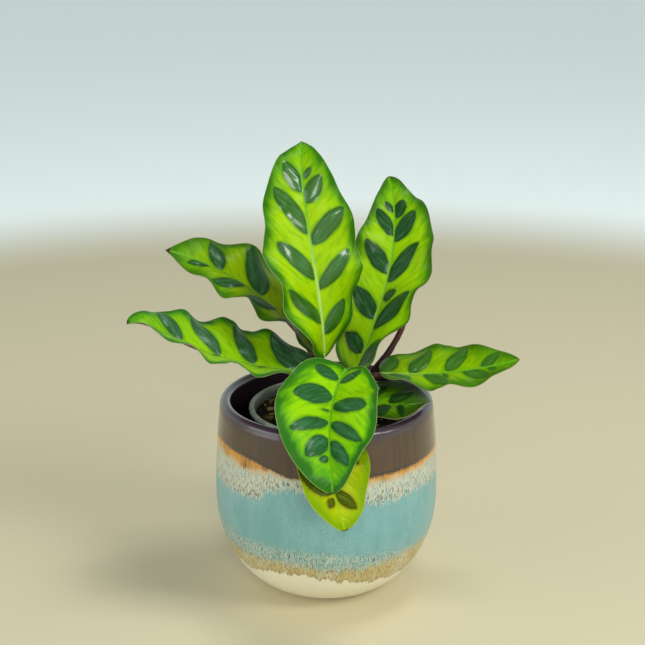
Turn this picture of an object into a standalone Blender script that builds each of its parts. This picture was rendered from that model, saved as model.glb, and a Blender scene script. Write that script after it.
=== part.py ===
"""A calathea in a glazed pot.

Nine leaves, each a waved blade on its own stem, stand in plain holes in the soil. The soil fills a thin
plastic nursery pot, which stands inside the outer, glazed pot. Metres, +Z up, with the origin at the centre
of the glazed pot's flat base. +X is to the right and -Y is towards a viewer in front.
"""

import math
from dataclasses import dataclass

import bmesh
import bpy
import numpy as np

# Glazed pot
POT_HEIGHT = 0.1035
POT_BELLY_RADIUS = 0.0585
POT_BELLY_Z = 0.051
POT_CORE_RADIUS = 0.018
POT_BELLY_DROP = 0.0522
POT_UPPER_ARC = 0.405
POT_WALL = 0.0059
POT_FLOOR = 0.008
POT_FLOOR_RADIUS = 0.031
POT_FLOOR_FILLET_Z = 0.016
POT_SEGMENTS = 48

# Nursery pot, a common 9 cm one, which stands a little to the right in the glazed pot
NURSERY_CENTRE = (0.0033, 0.0008)
NURSERY_RIM_RADIUS = 0.044
NURSERY_RIM_Z = 0.098
NURSERY_RIM_DEPTH = 0.0026
NURSERY_NECK_RADIUS = 0.0422
NURSERY_BASE_RADIUS = 0.0275
NURSERY_WALL = 0.0011
NURSERY_SEGMENTS = 40
DRAIN_RADIUS = 0.0035
DRAIN_CIRCLE = 0.018
DRAIN_COUNT = 6

# Soil
SOIL_TOP = 0.093
SOIL_RELIEF = 0.0012
SOIL_RIPPLES = ((210, 90, 0.4), (-120, 260, 1.9), (330, -310, 4.1), (480, 150, 2.6))
SOIL_RINGS = 7
HOLE_DEPTH = 0.014

# Stems and blades
STEM_RADIUS = 0.0016
NECK_RADIUS = 0.0012
BLADE_THICKNESS = 0.0007
RIB_DEPTH = 0.0013
TIP_HALF_WIDTH = 0.0008
RIPPLE_POWER = 1.7
STEM_STATIONS = 6
STEM_REACH = 0.9
BLADE_STATIONS = 30
STATION_CROWDING = 0.6
CURL_START = 0.8
COLUMNS = np.array([-1.0, -0.62, -0.25, 0.0, 0.25, 0.62, 1.0])

# What two pieces that touch keep between them, how near two points count as one, and where an edge is sharp
GAP = 0.0003
MERGE = 0.000001
SHARP_DEGREES = 40


@dataclass(frozen=True)
class Leaf:
    """One leaf. Angles are in degrees; azimuth 0 is +X and 90 is +Y.

    A pair in azimuth, pitch and roll is for the blade's base and tip. A pair in width, keel, wave and phase
    is for the halves to the left and to the right of the midrib, seen along it from the stem. Keel is how
    far a half rises from the midrib, droop how far it bends back by its margin, and wave how high the margin
    ripples. The next three shape the outline. Curl bends the tip further down, and flatten is the share by
    which a half's keel eases off by the tip.
    """

    name: str
    root: tuple
    base: tuple
    azimuth: tuple
    pitch: tuple
    roll: tuple
    length: float
    width: tuple
    keel: tuple
    droop: float
    wave: tuple
    waves: float
    phase: tuple
    base_round: float
    widest: float
    tip: float
    curl: float = 0.0
    flatten: tuple = (0.0, 0.0)


LEAVES = (
    Leaf(
        name="leaf_centre", root=(-0.002, 0.005), base=(-0.001, 0.0055, 0.122),
        azimuth=(159, 86), pitch=(88, 58), roll=(0, -8),
        length=0.1185, width=(0.0285, 0.026),
        keel=(17, 21), droop=17, wave=(0.0047, 0.0026), waves=4.1, phase=(-0.29, 0.73),
        base_round=0.52, widest=0.41, tip=1.03, curl=46,
    ),
    Leaf(
        name="leaf_right_tall", root=(0.009, 0.004), base=(0.015, 0.0075, 0.112),
        azimuth=(31, 107), pitch=(65, 43), roll=(-13, 5),
        length=0.116, width=(0.0245, 0.03),
        keel=(20, 23), droop=4, wave=(0.0027, 0.0041), waves=4.8, phase=(1.08, -0.56),
        base_round=0.33, widest=0.34, tip=1.11,
    ),
    Leaf(
        name="leaf_left_upper", root=(-0.008, 0.009), base=(-0.006, 0.008, 0.123),
        azimuth=(150, 182), pitch=(50, 15), roll=(11, -59),
        length=0.098, width=(0.019, 0.0255),
        keel=(34, 12), droop=27, wave=(0.0045, 0.0044), waves=3.7, phase=(0.52, -0.01),
        base_round=0.68, widest=0.43, tip=0.99,
    ),
    Leaf(
        name="leaf_left_lower", root=(-0.01, -0.003), base=(-0.005, -0.001, 0.117),
        azimuth=(183, 189), pitch=(1, 40), roll=(-12, 0),
        length=0.1025, width=(0.0255, 0.026),
        keel=(35, 35), droop=25, wave=(0.0024, 0.0026), waves=4.0, phase=(-0.52, 0.24),
        base_round=0.50, widest=0.47, tip=1.11, curl=56, flatten=(0.27, 0.0),
    ),
    Leaf(
        name="leaf_right", root=(0.014, -0.002), base=(0.0275, -0.002, 0.1165),
        azimuth=(2, -20), pitch=(-5, 23), roll=(2, 53),
        length=0.0735, width=(0.02, 0.016),
        keel=(13, 22), droop=16, wave=(0.0018, 0.0026), waves=3.0, phase=(0.07, 0.71),
        base_round=0.30, widest=0.30, tip=1.07,
    ),
    Leaf(
        name="leaf_front", root=(0.003, -0.009), base=(0.0105, -0.0165, 0.124),
        azimuth=(-110, -80), pitch=(-6, -44), roll=(-3, 25),
        length=0.0835, width=(0.027, 0.028),
        keel=(29, 45), droop=16, wave=(0.0042, 0.0018), waves=2.3, phase=(0.15, 0.0),
        base_round=0.70, widest=0.49, tip=1.01, curl=33, flatten=(0.26, 0.08),
    ),
    Leaf(
        name="leaf_front_low", root=(0.008, -0.015), base=(0.0075, -0.035, 0.11),
        azimuth=(-118, -53), pitch=(-1, -61), roll=(4, -11),
        length=0.077, width=(0.0195, 0.0155),
        keel=(17, 7), droop=14, wave=(0.0024, 0.0017), waves=2.6, phase=(-0.27, -0.34),
        base_round=0.77, widest=0.56, tip=0.92,
    ),
    Leaf(
        name="leaf_in_pot", root=(0.014, -0.01), base=(0.0115, -0.0125, 0.1075),
        azimuth=(-26, -23), pitch=(-8, 20), roll=(26, -9),
        length=0.045, width=(0.025, 0.019),
        keel=(8, 8), droop=20, wave=(0.0014, 0.0037), waves=1.3, phase=(0.46, 0.66),
        base_round=0.76, widest=0.49, tip=1.04,
    ),
    Leaf(
        name="leaf_back", root=(0.019, 0.012), base=(0.04, 0.027, 0.1355),
        azimuth=(68, 119), pitch=(58, 25), roll=(-52, -8),
        length=0.078, width=(0.016, 0.015),
        keel=(15, 19), droop=20, wave=(0.002, 0.002), waves=4.0, phase=(0.10, 0.66),
        base_round=0.52, widest=0.48, tip=0.98,
    ),
)

YELLOW_LEAVES = ("leaf_front_low",)


def between(start, end, share):
    """The value the given share of the way from start to end."""
    return start + (end - start) * share


def heading(azimuth, pitch):
    """Unit vectors along the given azimuths and pitches, in degrees."""
    a, p = np.radians(azimuth), np.radians(pitch)
    return np.stack([np.cos(p) * np.cos(a), np.cos(p) * np.sin(a), np.sin(p)], axis=-1)


def unit(vectors):
    """The vectors at length one."""
    return vectors / np.linalg.norm(vectors, axis=-1, keepdims=True)


def turned_about(along, across, degrees):
    """The across vectors rolled about the along vectors, and what then points up."""
    angle = np.radians(degrees)[..., None]
    across = unit(across - along * np.sum(along * across, axis=-1, keepdims=True))
    rolled = across * np.cos(angle) + np.cross(along, across) * np.sin(angle)
    return rolled, np.cross(along, rolled)


def left_of(azimuth):
    """Level unit vectors to the left of the given azimuths."""
    a = np.radians(azimuth)
    return np.stack([-np.sin(a), np.cos(a), np.zeros_like(a)], axis=-1)


def blade_stations(count):
    """Shares of a blade's length, closer together at its base and tip."""
    x = np.linspace(0.0, 1.0, count)
    return x - STATION_CROWDING * np.sin(2 * math.pi * x) / (2 * math.pi)


def midrib(leaf, t):
    """Midrib points at the shares t, with the vectors to the left of and up from each."""
    azimuth = between(*leaf.azimuth, t)
    bend = leaf.curl * np.clip((t - CURL_START) / (1 - CURL_START), 0, 1) ** 2
    along = heading(azimuth, between(*leaf.pitch, t) - bend)
    steps = (along[1:] + along[:-1]) / 2 * np.diff(t)[:, None] * leaf.length
    points = np.array(leaf.base) + np.vstack([np.zeros(3), np.cumsum(steps, axis=0)])
    left, up = turned_about(along, left_of(azimuth), between(*leaf.roll, t))
    return points, left, up


def half_width(leaf, t, side):
    """Half the blade's width at the shares t, on side 0 (left) or 1 (right)."""
    rise = leaf.base_round
    fall = leaf.tip * rise * (1 - leaf.widest) / leaf.widest
    peak = rise / (rise + fall)
    shape = (t / peak) ** rise * ((1 - t) / (1 - peak)) ** fall
    return np.maximum(shape * leaf.width[side], TIP_HALF_WIDTH)


def blade(leaf, t, columns):
    """Points of the blade's upper face: rows along it, and columns across it from -1 (right) to 1 (left)."""
    points, left, up = midrib(leaf, t)
    surface = np.empty((len(t), len(columns), 3))
    swell = np.sqrt(np.sin(math.pi * t))
    for index, column in enumerate(columns):
        side = 0 if column > 0 else 1
        share = abs(column)
        keel = math.radians(leaf.keel[side]) * (1 - leaf.flatten[side] * t)
        droop = math.radians(leaf.droop)
        width = half_width(leaf, t, side)
        reach = (np.sin(keel) - np.sin(keel - droop * share)) / droop * width
        rise = (np.cos(keel - droop * share) - np.cos(keel)) / droop * width
        turns = leaf.waves * t + leaf.phase[side]
        rise = rise + leaf.wave[side] * share ** RIPPLE_POWER * swell * np.sin(2 * math.pi * turns)
        reach = reach * (1 if column > 0 else -1)
        surface[:, index] = points + left * reach[:, None] + up * rise[:, None]
    return surface


def face_normals(surface):
    """Unit vectors out of the upper face at each of its points; the crowded tip takes its neighbour's."""
    along = np.gradient(surface, axis=0)
    across = np.gradient(surface, axis=1)
    normals = unit(np.cross(along, across))
    normals[-1] = normals[-2, len(COLUMNS) // 2]
    return normals


def blade_rings(leaf):
    """The blade as rings: an upper row of points and a lower row under it at each station."""
    t = blade_stations(BLADE_STATIONS)
    upper = blade(leaf, t, COLUMNS)
    depth = np.full(upper.shape[:2], BLADE_THICKNESS)
    depth[:, len(COLUMNS) // 2] += between(RIB_DEPTH, 0.0, t)
    lower = upper - face_normals(upper) * depth[..., None]
    return np.stack([upper, lower], axis=1)[1:]


def stem_path(leaf, count):
    """Points from the soil to the blade's base, upright at the soil, and the direction at each."""
    start = np.array([*leaf.root, SOIL_TOP])
    out = heading(leaf.azimuth[0], leaf.pitch[0])
    _, up = turned_about(out, left_of(leaf.azimuth[0]), np.array(leaf.roll[0]))
    end = np.array(leaf.base) - up * NECK_RADIUS
    reach = np.linalg.norm(end - start)
    s = np.linspace(0.0, 1.0, count)[:, None]
    first, last = np.array([0, 0, reach]), out * STEM_REACH * reach
    points = (
        (2 * s**3 - 3 * s**2 + 1) * start + (s**3 - 2 * s**2 + s) * first
        + (3 * s**2 - 2 * s**3) * end + (s**3 - s**2) * last
    )
    directions = (
        (6 * s**2 - 6 * s) * (start - end) + (3 * s**2 - 4 * s + 1) * first + (3 * s**2 - 2 * s) * last
    )
    return points, unit(directions)


def stem_rings(leaf):
    """The stem as round rings with as many points as the blade's, from its foot in the soil upwards."""
    points, along = stem_path(leaf, STEM_STATIONS)
    foot = points[0] - np.array([0, 0, HOLE_DEPTH - GAP])
    points, along = np.vstack([foot, points]), np.vstack([along[0], along])
    count = len(points)
    left = np.tile(left_of(leaf.azimuth[0]), (count, 1))
    left, up = turned_about(along, left, np.full(count, float(leaf.roll[0])))
    radius = np.array([STEM_RADIUS, *np.linspace(STEM_RADIUS, NECK_RADIUS, count - 1)])
    middle = len(COLUMNS) // 2
    angles = (np.arange(len(COLUMNS)) - middle) * math.pi / len(COLUMNS)
    side = left[:, None] * np.sin(angles)[:, None] * radius[:, None, None]
    height = up[:, None] * np.cos(angles)[:, None] * radius[:, None, None]
    return np.stack([points[:, None] + side + height, points[:, None] + side - height], axis=1)


def material(name, colour, roughness, coat=0.0):
    """A Principled BSDF of the given linear colour."""
    made = bpy.data.materials.new(name)
    made.use_nodes = True
    shader = made.node_tree.nodes["Principled BSDF"]
    shader.inputs["Base Color"].default_value = (*colour, 1.0)
    shader.inputs["Roughness"].default_value = roughness
    shader.inputs["Metallic"].default_value = 0.0
    shader.inputs["Coat Weight"].default_value = coat
    made.diffuse_color = (*colour, 1.0)
    return made


def put_in_scene(name, bm, finish, parent, centre=(0.0, 0.0)):
    """Makes an object from the bmesh, with its faces out and its round faces smooth, and stands it there."""
    bmesh.ops.recalc_face_normals(bm, faces=bm.faces)
    mesh = bpy.data.meshes.new(name)
    bm.to_mesh(mesh)
    bm.free()
    mesh.materials.append(finish)
    mesh.shade_smooth()
    mesh.set_sharp_from_angle(angle=math.radians(SHARP_DEGREES))
    piece = bpy.data.objects.new(name, mesh)
    piece.parent = parent
    piece.location = (*centre, 0.0)
    bpy.context.scene.collection.objects.link(piece)
    return piece


def turned(profile, segments):
    """A bmesh of the profile, points of radius and height from axis to axis, spun about Z."""
    bm = bmesh.new()
    points = [bm.verts.new((radius, 0.0, height)) for radius, height in profile]
    edges = [bm.edges.new(pair) for pair in zip(points, points[1:])]
    bmesh.ops.spin(
        bm, geom=points + edges, cent=(0, 0, 0), axis=(0, 0, 1), angle=2 * math.pi,
        steps=segments, use_merge=True, use_duplicate=False,
    )
    bmesh.ops.remove_doubles(bm, verts=bm.verts, dist=MERGE)
    return bm


def pot_radius(height):
    """The glazed pot's outer radius: a quarter ellipse up to the belly, and a flat arc above it."""
    if height < POT_BELLY_Z:
        drop = (POT_BELLY_Z - height) / POT_BELLY_DROP
        return POT_CORE_RADIUS + (POT_BELLY_RADIUS - POT_CORE_RADIUS) * math.sqrt(1 - drop**2)
    return POT_BELLY_RADIUS - (height - POT_BELLY_Z) ** 2 / (2 * POT_UPPER_ARC)


def pot_profile():
    """The pot's section from the middle of its base, up the outside, over the lip and down to its floor."""
    lip = POT_WALL / 2
    lip_z = POT_HEIGHT - lip
    turns = np.linspace(math.acos(POT_BELLY_Z / POT_BELLY_DROP), math.pi / 2, 9)
    outer = [POT_BELLY_Z - POT_BELLY_DROP * math.cos(turn) for turn in turns]
    outer += list(np.linspace(POT_BELLY_Z, lip_z, 5)[1:])
    profile = [(0.0, 0.0)] + [(pot_radius(height), height) for height in outer]
    middle = pot_radius(lip_z) - lip
    for turn in np.linspace(0.0, math.pi, 7)[1:-1]:
        profile.append((middle + lip * math.cos(turn), lip_z + lip * math.sin(turn)))
    for height in np.linspace(lip_z, POT_FLOOR_FILLET_Z, 6):
        profile.append((pot_radius(height) - POT_WALL, height))
    edge = pot_radius(POT_FLOOR_FILLET_Z) - POT_WALL
    for turn in np.linspace(0.0, math.pi / 2, 4)[1:]:
        profile.append((
            POT_FLOOR_RADIUS + (edge - POT_FLOOR_RADIUS) * math.cos(turn),
            POT_FLOOR_FILLET_Z - (POT_FLOOR_FILLET_Z - POT_FLOOR) * math.sin(turn),
        ))
    profile.append((0.0, POT_FLOOR))
    return profile


def nursery_radius(height):
    """The nursery pot's outer radius below its rim, a plain taper."""
    top = NURSERY_RIM_Z - NURSERY_RIM_DEPTH
    share = (height - POT_FLOOR - GAP) / (top - POT_FLOOR - GAP)
    return between(NURSERY_BASE_RADIUS, NURSERY_NECK_RADIUS, share)


def nursery_profile():
    """The nursery pot's section: base, tapered wall, turned-out rim, and the inside back to the middle."""
    foot = POT_FLOOR + GAP
    under_rim = NURSERY_RIM_Z - NURSERY_RIM_DEPTH
    bead = NURSERY_RIM_DEPTH / 2
    profile = [(0.0, foot), (NURSERY_BASE_RADIUS, foot), (NURSERY_NECK_RADIUS, under_rim)]
    middle = NURSERY_RIM_RADIUS - bead
    for turn in np.linspace(-math.pi / 2, math.pi / 2, 7):
        profile.append((middle + bead * math.cos(turn), under_rim + bead + bead * math.sin(turn)))
    profile.append((nursery_radius(NURSERY_RIM_Z), NURSERY_RIM_Z))
    for height in (under_rim, foot + NURSERY_WALL):
        profile.append((nursery_radius(height) - NURSERY_WALL, height))
    profile.append((0.0, foot + NURSERY_WALL))
    return profile


def cutter(name, spots, radius, bottom, top, sides):
    """Upright round cutters at the spots, as one object that is left out of renders."""
    bm = bmesh.new()
    for x, y in spots:
        made = bmesh.ops.create_cone(
            bm, cap_ends=True, segments=sides, radius1=radius, radius2=radius, depth=top - bottom,
        )
        bmesh.ops.translate(bm, verts=made["verts"], vec=(x, y, (top + bottom) / 2))
    mesh = bpy.data.meshes.new(name)
    bm.to_mesh(mesh)
    bm.free()
    tool = bpy.data.objects.new(name, mesh)
    tool.hide_render = True
    tool.display_type = "WIRE"
    bpy.context.scene.collection.objects.link(tool)
    return tool


def cut(piece, tool):
    """Takes the tool's shape out of the piece."""
    boolean = piece.modifiers.new(tool.name, "BOOLEAN")
    boolean.operation = "DIFFERENCE"
    boolean.solver = "EXACT"
    boolean.object = tool


def make_glazed_pot(parent):
    """The outer pot, a closed turned wall with a round lip."""
    finish = material("glaze", (0.155, 0.319, 0.296), 0.2, coat=0.6)
    return put_in_scene("glazed_pot", turned(pot_profile(), POT_SEGMENTS), finish, parent)


def make_nursery_pot(parent):
    """The thin inner pot, with a ring of drain holes in its base."""
    finish = material("nursery_plastic", (0.16, 0.19, 0.16), 0.5)
    body = turned(nursery_profile(), NURSERY_SEGMENTS)
    pot = put_in_scene("nursery_pot", body, finish, parent, NURSERY_CENTRE)
    turns = [2 * math.pi * index / DRAIN_COUNT for index in range(DRAIN_COUNT)]
    x, y = NURSERY_CENTRE
    spots = [(x + DRAIN_CIRCLE * math.cos(turn), y + DRAIN_CIRCLE * math.sin(turn)) for turn in turns]
    margin = 4 * NURSERY_WALL
    cut(pot, cutter("drain_cutter", spots, DRAIN_RADIUS, POT_FLOOR - margin, POT_FLOOR + margin, 12))
    return pot


def soil_relief(x, y):
    """How far the soil's top stands above its mean level, from a few crossed ripples."""
    return SOIL_RELIEF * sum(math.sin(a * x + b * y + c) for a, b, c in SOIL_RIPPLES) / 2


def make_soil(parent):
    """The soil: a tapered plug with an uneven top and a plain hole for each stem."""
    wall = NURSERY_WALL + GAP
    foot = POT_FLOOR + GAP + wall
    rim = nursery_radius(SOIL_TOP) - wall
    profile = [(0.0, foot), (nursery_radius(foot) - wall, foot), (rim, SOIL_TOP)]
    profile += [(rim * (1 - ring / SOIL_RINGS), SOIL_TOP) for ring in range(1, SOIL_RINGS + 1)]
    bm = turned(profile, NURSERY_SEGMENTS)
    for vertex in bm.verts:
        x, y, z = vertex.co
        if z > SOIL_TOP - MERGE:
            vertex.co.z += soil_relief(x, y) * min(1.0, 3 * (1 - math.hypot(x, y) / rim))
    bmesh.ops.triangulate(bm, faces=bm.faces)
    finish = material("potting_soil", (0.05, 0.03, 0.02), 0.95)
    soil = put_in_scene("soil", bm, finish, parent, NURSERY_CENTRE)
    spots = [leaf.root for leaf in LEAVES]
    top = SOIL_TOP + HOLE_DEPTH
    cut(soil, cutter("stem_hole_cutter", spots, STEM_RADIUS + GAP, SOIL_TOP - HOLE_DEPTH, top, 14))
    return soil


def make_leaf(leaf, finish, parent):
    """A leaf as one closed body: its stem's round rings run into its blade's flat ones."""
    rings = np.vstack([stem_rings(leaf), blade_rings(leaf)])
    bm = bmesh.new()
    verts = [[[bm.verts.new(point) for point in row] for row in ring] for ring in rings]
    last = len(COLUMNS) - 1
    for ring, following in zip(verts, verts[1:]):
        for row in range(2):
            for column in range(last):
                a, b = ring[row][column], following[row][column]
                c, d = following[row][column + 1], ring[row][column + 1]
                bm.faces.new((a, b, c))
                bm.faces.new((a, c, d))
        for column in (0, last):
            bm.faces.new((ring[0][column], following[0][column], following[1][column]))
            bm.faces.new((ring[0][column], following[1][column], ring[1][column]))
    for ring in (verts[0], verts[-1]):
        for column in range(last):
            bm.faces.new((ring[0][column], ring[0][column + 1], ring[1][column + 1], ring[1][column]))
    return put_in_scene(leaf.name, bm, finish, parent)


def main():
    """Builds the whole object under one empty."""
    for old in list(bpy.data.objects):
        bpy.data.objects.remove(old)
    plant = bpy.data.objects.new("potted_calathea", None)
    bpy.context.scene.collection.objects.link(plant)
    make_glazed_pot(plant)
    make_nursery_pot(plant)
    make_soil(plant)
    green = material("leaf_green", (0.148, 0.342, 0.01), 0.4, coat=0.3)
    yellow = material("leaf_yellow_green", (0.342, 0.392, 0.007), 0.4, coat=0.3)
    for leaf in LEAVES:
        make_leaf(leaf, yellow if leaf.name in YELLOW_LEAVES else green, plant)


main()
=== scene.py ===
"""Looks of a potted calathea: the leaves with their blotches, the soil, the nursery pot and the glazed pot.

Metres, +Z up, with the origin at the centre of the glazed pot's base; +X is to the right and -Y towards a
viewer in front. Each piece keeps the form of the plain node that it stands for, with finer curves, relief
and a finish of its own.
"""

import logging
import math
from dataclasses import dataclass
from enum import Enum

import bpy
import numpy as np
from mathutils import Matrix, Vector, noise


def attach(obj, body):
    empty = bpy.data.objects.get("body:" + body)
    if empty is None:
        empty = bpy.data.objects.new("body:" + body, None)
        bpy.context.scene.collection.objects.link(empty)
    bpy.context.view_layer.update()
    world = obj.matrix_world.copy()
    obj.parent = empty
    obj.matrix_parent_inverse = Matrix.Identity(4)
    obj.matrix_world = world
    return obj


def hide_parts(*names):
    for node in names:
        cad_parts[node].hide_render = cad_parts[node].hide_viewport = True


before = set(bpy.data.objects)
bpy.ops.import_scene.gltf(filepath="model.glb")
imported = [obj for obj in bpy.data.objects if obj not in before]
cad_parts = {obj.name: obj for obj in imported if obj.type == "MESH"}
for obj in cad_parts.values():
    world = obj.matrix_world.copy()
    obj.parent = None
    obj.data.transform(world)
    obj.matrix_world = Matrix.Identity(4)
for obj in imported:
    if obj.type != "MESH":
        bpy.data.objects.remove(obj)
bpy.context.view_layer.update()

LOG = logging.getLogger("calathea")
BODY = "root"
MM = 0.001
TURN = 2 * math.pi

# The nursery pot stands a little off the glazed pot's axis
NURSERY_CENTRE = (0.0033, 0.0008)

Point = tuple[float, float, float]
Colour = tuple[float, float, float]
Pair = tuple[float, float]


class Slot(Enum):
    """The record's material slots."""

    GLAZE = "glaze"
    NURSERY = "nursery_plastic"
    SOIL = "potting_soil"
    GREEN = "leaf_green"
    YELLOW = "leaf_yellow_green"


class Skin(Enum):
    """What a blade's upper face looks like."""

    FRESH = "fresh"
    EDGED = "edged"
    SLEEK = "sleek"
    DEEP = "deep"
    MUTED = "muted"
    SOFT = "soft"
    SHADED = "shaded"
    YELLOW = "yellow"


class Wire:
    """A shader socket in an expression: each operator adds a Math node."""

    def __init__(self, board: "Board", socket: bpy.types.NodeSocket) -> None:
        """Wraps an output socket of one of the board's nodes."""
        self.board = board
        self.socket = socket

    def _math(self, operation: str, first: "Wire | float", second: "Wire | float") -> "Wire":
        """A Math node on two values."""
        return self.board.node("ShaderNodeMath", {"operation": operation}, {0: first, 1: second})

    def __add__(self, other: "Wire | float") -> "Wire":
        """This plus the other."""
        return self._math("ADD", self, other)

    def __radd__(self, other: float) -> "Wire":
        """A number plus this."""
        return self._math("ADD", other, self)

    def __sub__(self, other: "Wire | float") -> "Wire":
        """This less the other."""
        return self._math("SUBTRACT", self, other)

    def __rsub__(self, other: float) -> "Wire":
        """A number less this."""
        return self._math("SUBTRACT", other, self)

    def __mul__(self, other: "Wire | float") -> "Wire":
        """This times the other."""
        return self._math("MULTIPLY", self, other)


class Board:
    """The node tree of a material or of the room's light, with short ways to the nodes that they use."""

    def __init__(self, owner: bpy.types.Material | bpy.types.World) -> None:
        """Takes a new material's or world's tree, which holds its bare shader and its output."""
        owner.use_nodes = True
        self.owner = owner
        self.tree = owner.node_tree
        self.shader = next(node for node in self.tree.nodes if node.inputs and node.outputs)

    def feed(self, socket: bpy.types.NodeSocket, value: object) -> None:
        """Links a wire to the socket, or sets it to a number, vector or colour.

        Args:
            socket: the input to fill.
            value: a Wire, a number, or three numbers.
        """
        if isinstance(value, Wire):
            self.tree.links.new(value.socket, socket)
        elif socket.type == "RGBA":
            socket.default_value = (*value, 1.0)
        else:
            socket.default_value = value

    def node(
        self, kind: str, settings: dict[str, object], sockets: dict[int | str, object], output: int | str = 0
    ) -> Wire:
        """Adds a node.

        Args:
            kind: the node's type.
            settings: its properties, set first.
            sockets: what its inputs get, by number or name.
            output: the output to go on with.

        Returns:
            The output, as a wire.
        """
        made = self.tree.nodes.new(kind)
        for name, value in settings.items():
            setattr(made, name, value)
        for key, value in sockets.items():
            self.feed(made.inputs[key], value)
        return Wire(self, made.outputs[output])

    def number(self, name: str) -> Wire:
        """A float attribute of the mesh."""
        return self.node("ShaderNodeAttribute", {"attribute_name": name}, {}, "Fac")

    def place(self, name: str) -> Wire:
        """A vector attribute of the mesh."""
        return self.node("ShaderNodeAttribute", {"attribute_name": name}, {}, "Vector")

    def object_place(self) -> Wire:
        """Object coordinates."""
        return self.node("ShaderNodeTexCoord", {}, {}, "Object")

    def stretched(self, at: Wire, sizes: Point) -> Wire:
        """The coordinates, each multiplied by its own size."""
        return self.node("ShaderNodeVectorMath", {"operation": "MULTIPLY"}, {0: at, 1: sizes})

    def noise(self, at: Wire, scale: float, detail: float = 2.0, roughness: float = 0.5) -> Wire:
        """Cloudy noise from 0 to 1."""
        sockets = {"Vector": at, "Scale": scale, "Detail": detail, "Roughness": roughness}
        return self.node("ShaderNodeTexNoise", {}, sockets)

    def grain(self, at: Wire, sizes: Point, detail: float = 2.0, roughness: float = 0.5) -> Wire:
        """Noise of scale 1 on the coordinates, each multiplied by its own size."""
        return self.noise(self.stretched(at, sizes), 1.0, detail, roughness)

    def rise(self, value: Wire, low: float, high: float) -> Wire:
        """A smooth step from 0 at low to 1 at high, or down from 1 where low is the larger."""
        sockets = {"Value": value, "From Min": low, "From Max": high}
        return self.node("ShaderNodeMapRange", {"interpolation_type": "SMOOTHSTEP"}, sockets)

    def blend(self, share: Wire | float, low: Wire | Colour, high: Wire | Colour) -> Wire:
        """The colour low where share is 0 and high where it is 1."""
        return self.node("ShaderNodeMix", {"data_type": "RGBA"}, {0: share, 6: low, 7: high}, 2)

    def relief(self, height: Wire, depth: float) -> None:
        """Bumps the normal by a height from 0 to 1, which stands for depth metres."""
        bump = self.node("ShaderNodeBump", {}, {"Distance": depth, "Height": height}, "Normal")
        self.feed(self.shader.inputs["Normal"], bump)

    def finish(self, **values: object) -> bpy.types.Material | bpy.types.World:
        """Fills the shader's inputs.

        Args:
            values: by the inputs' names, with an underscore for each space.

        Returns:
            The material or world.
        """
        for name, value in values.items():
            self.feed(self.shader.inputs[name.replace("_", " ")], value)
        return self.owner


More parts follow.
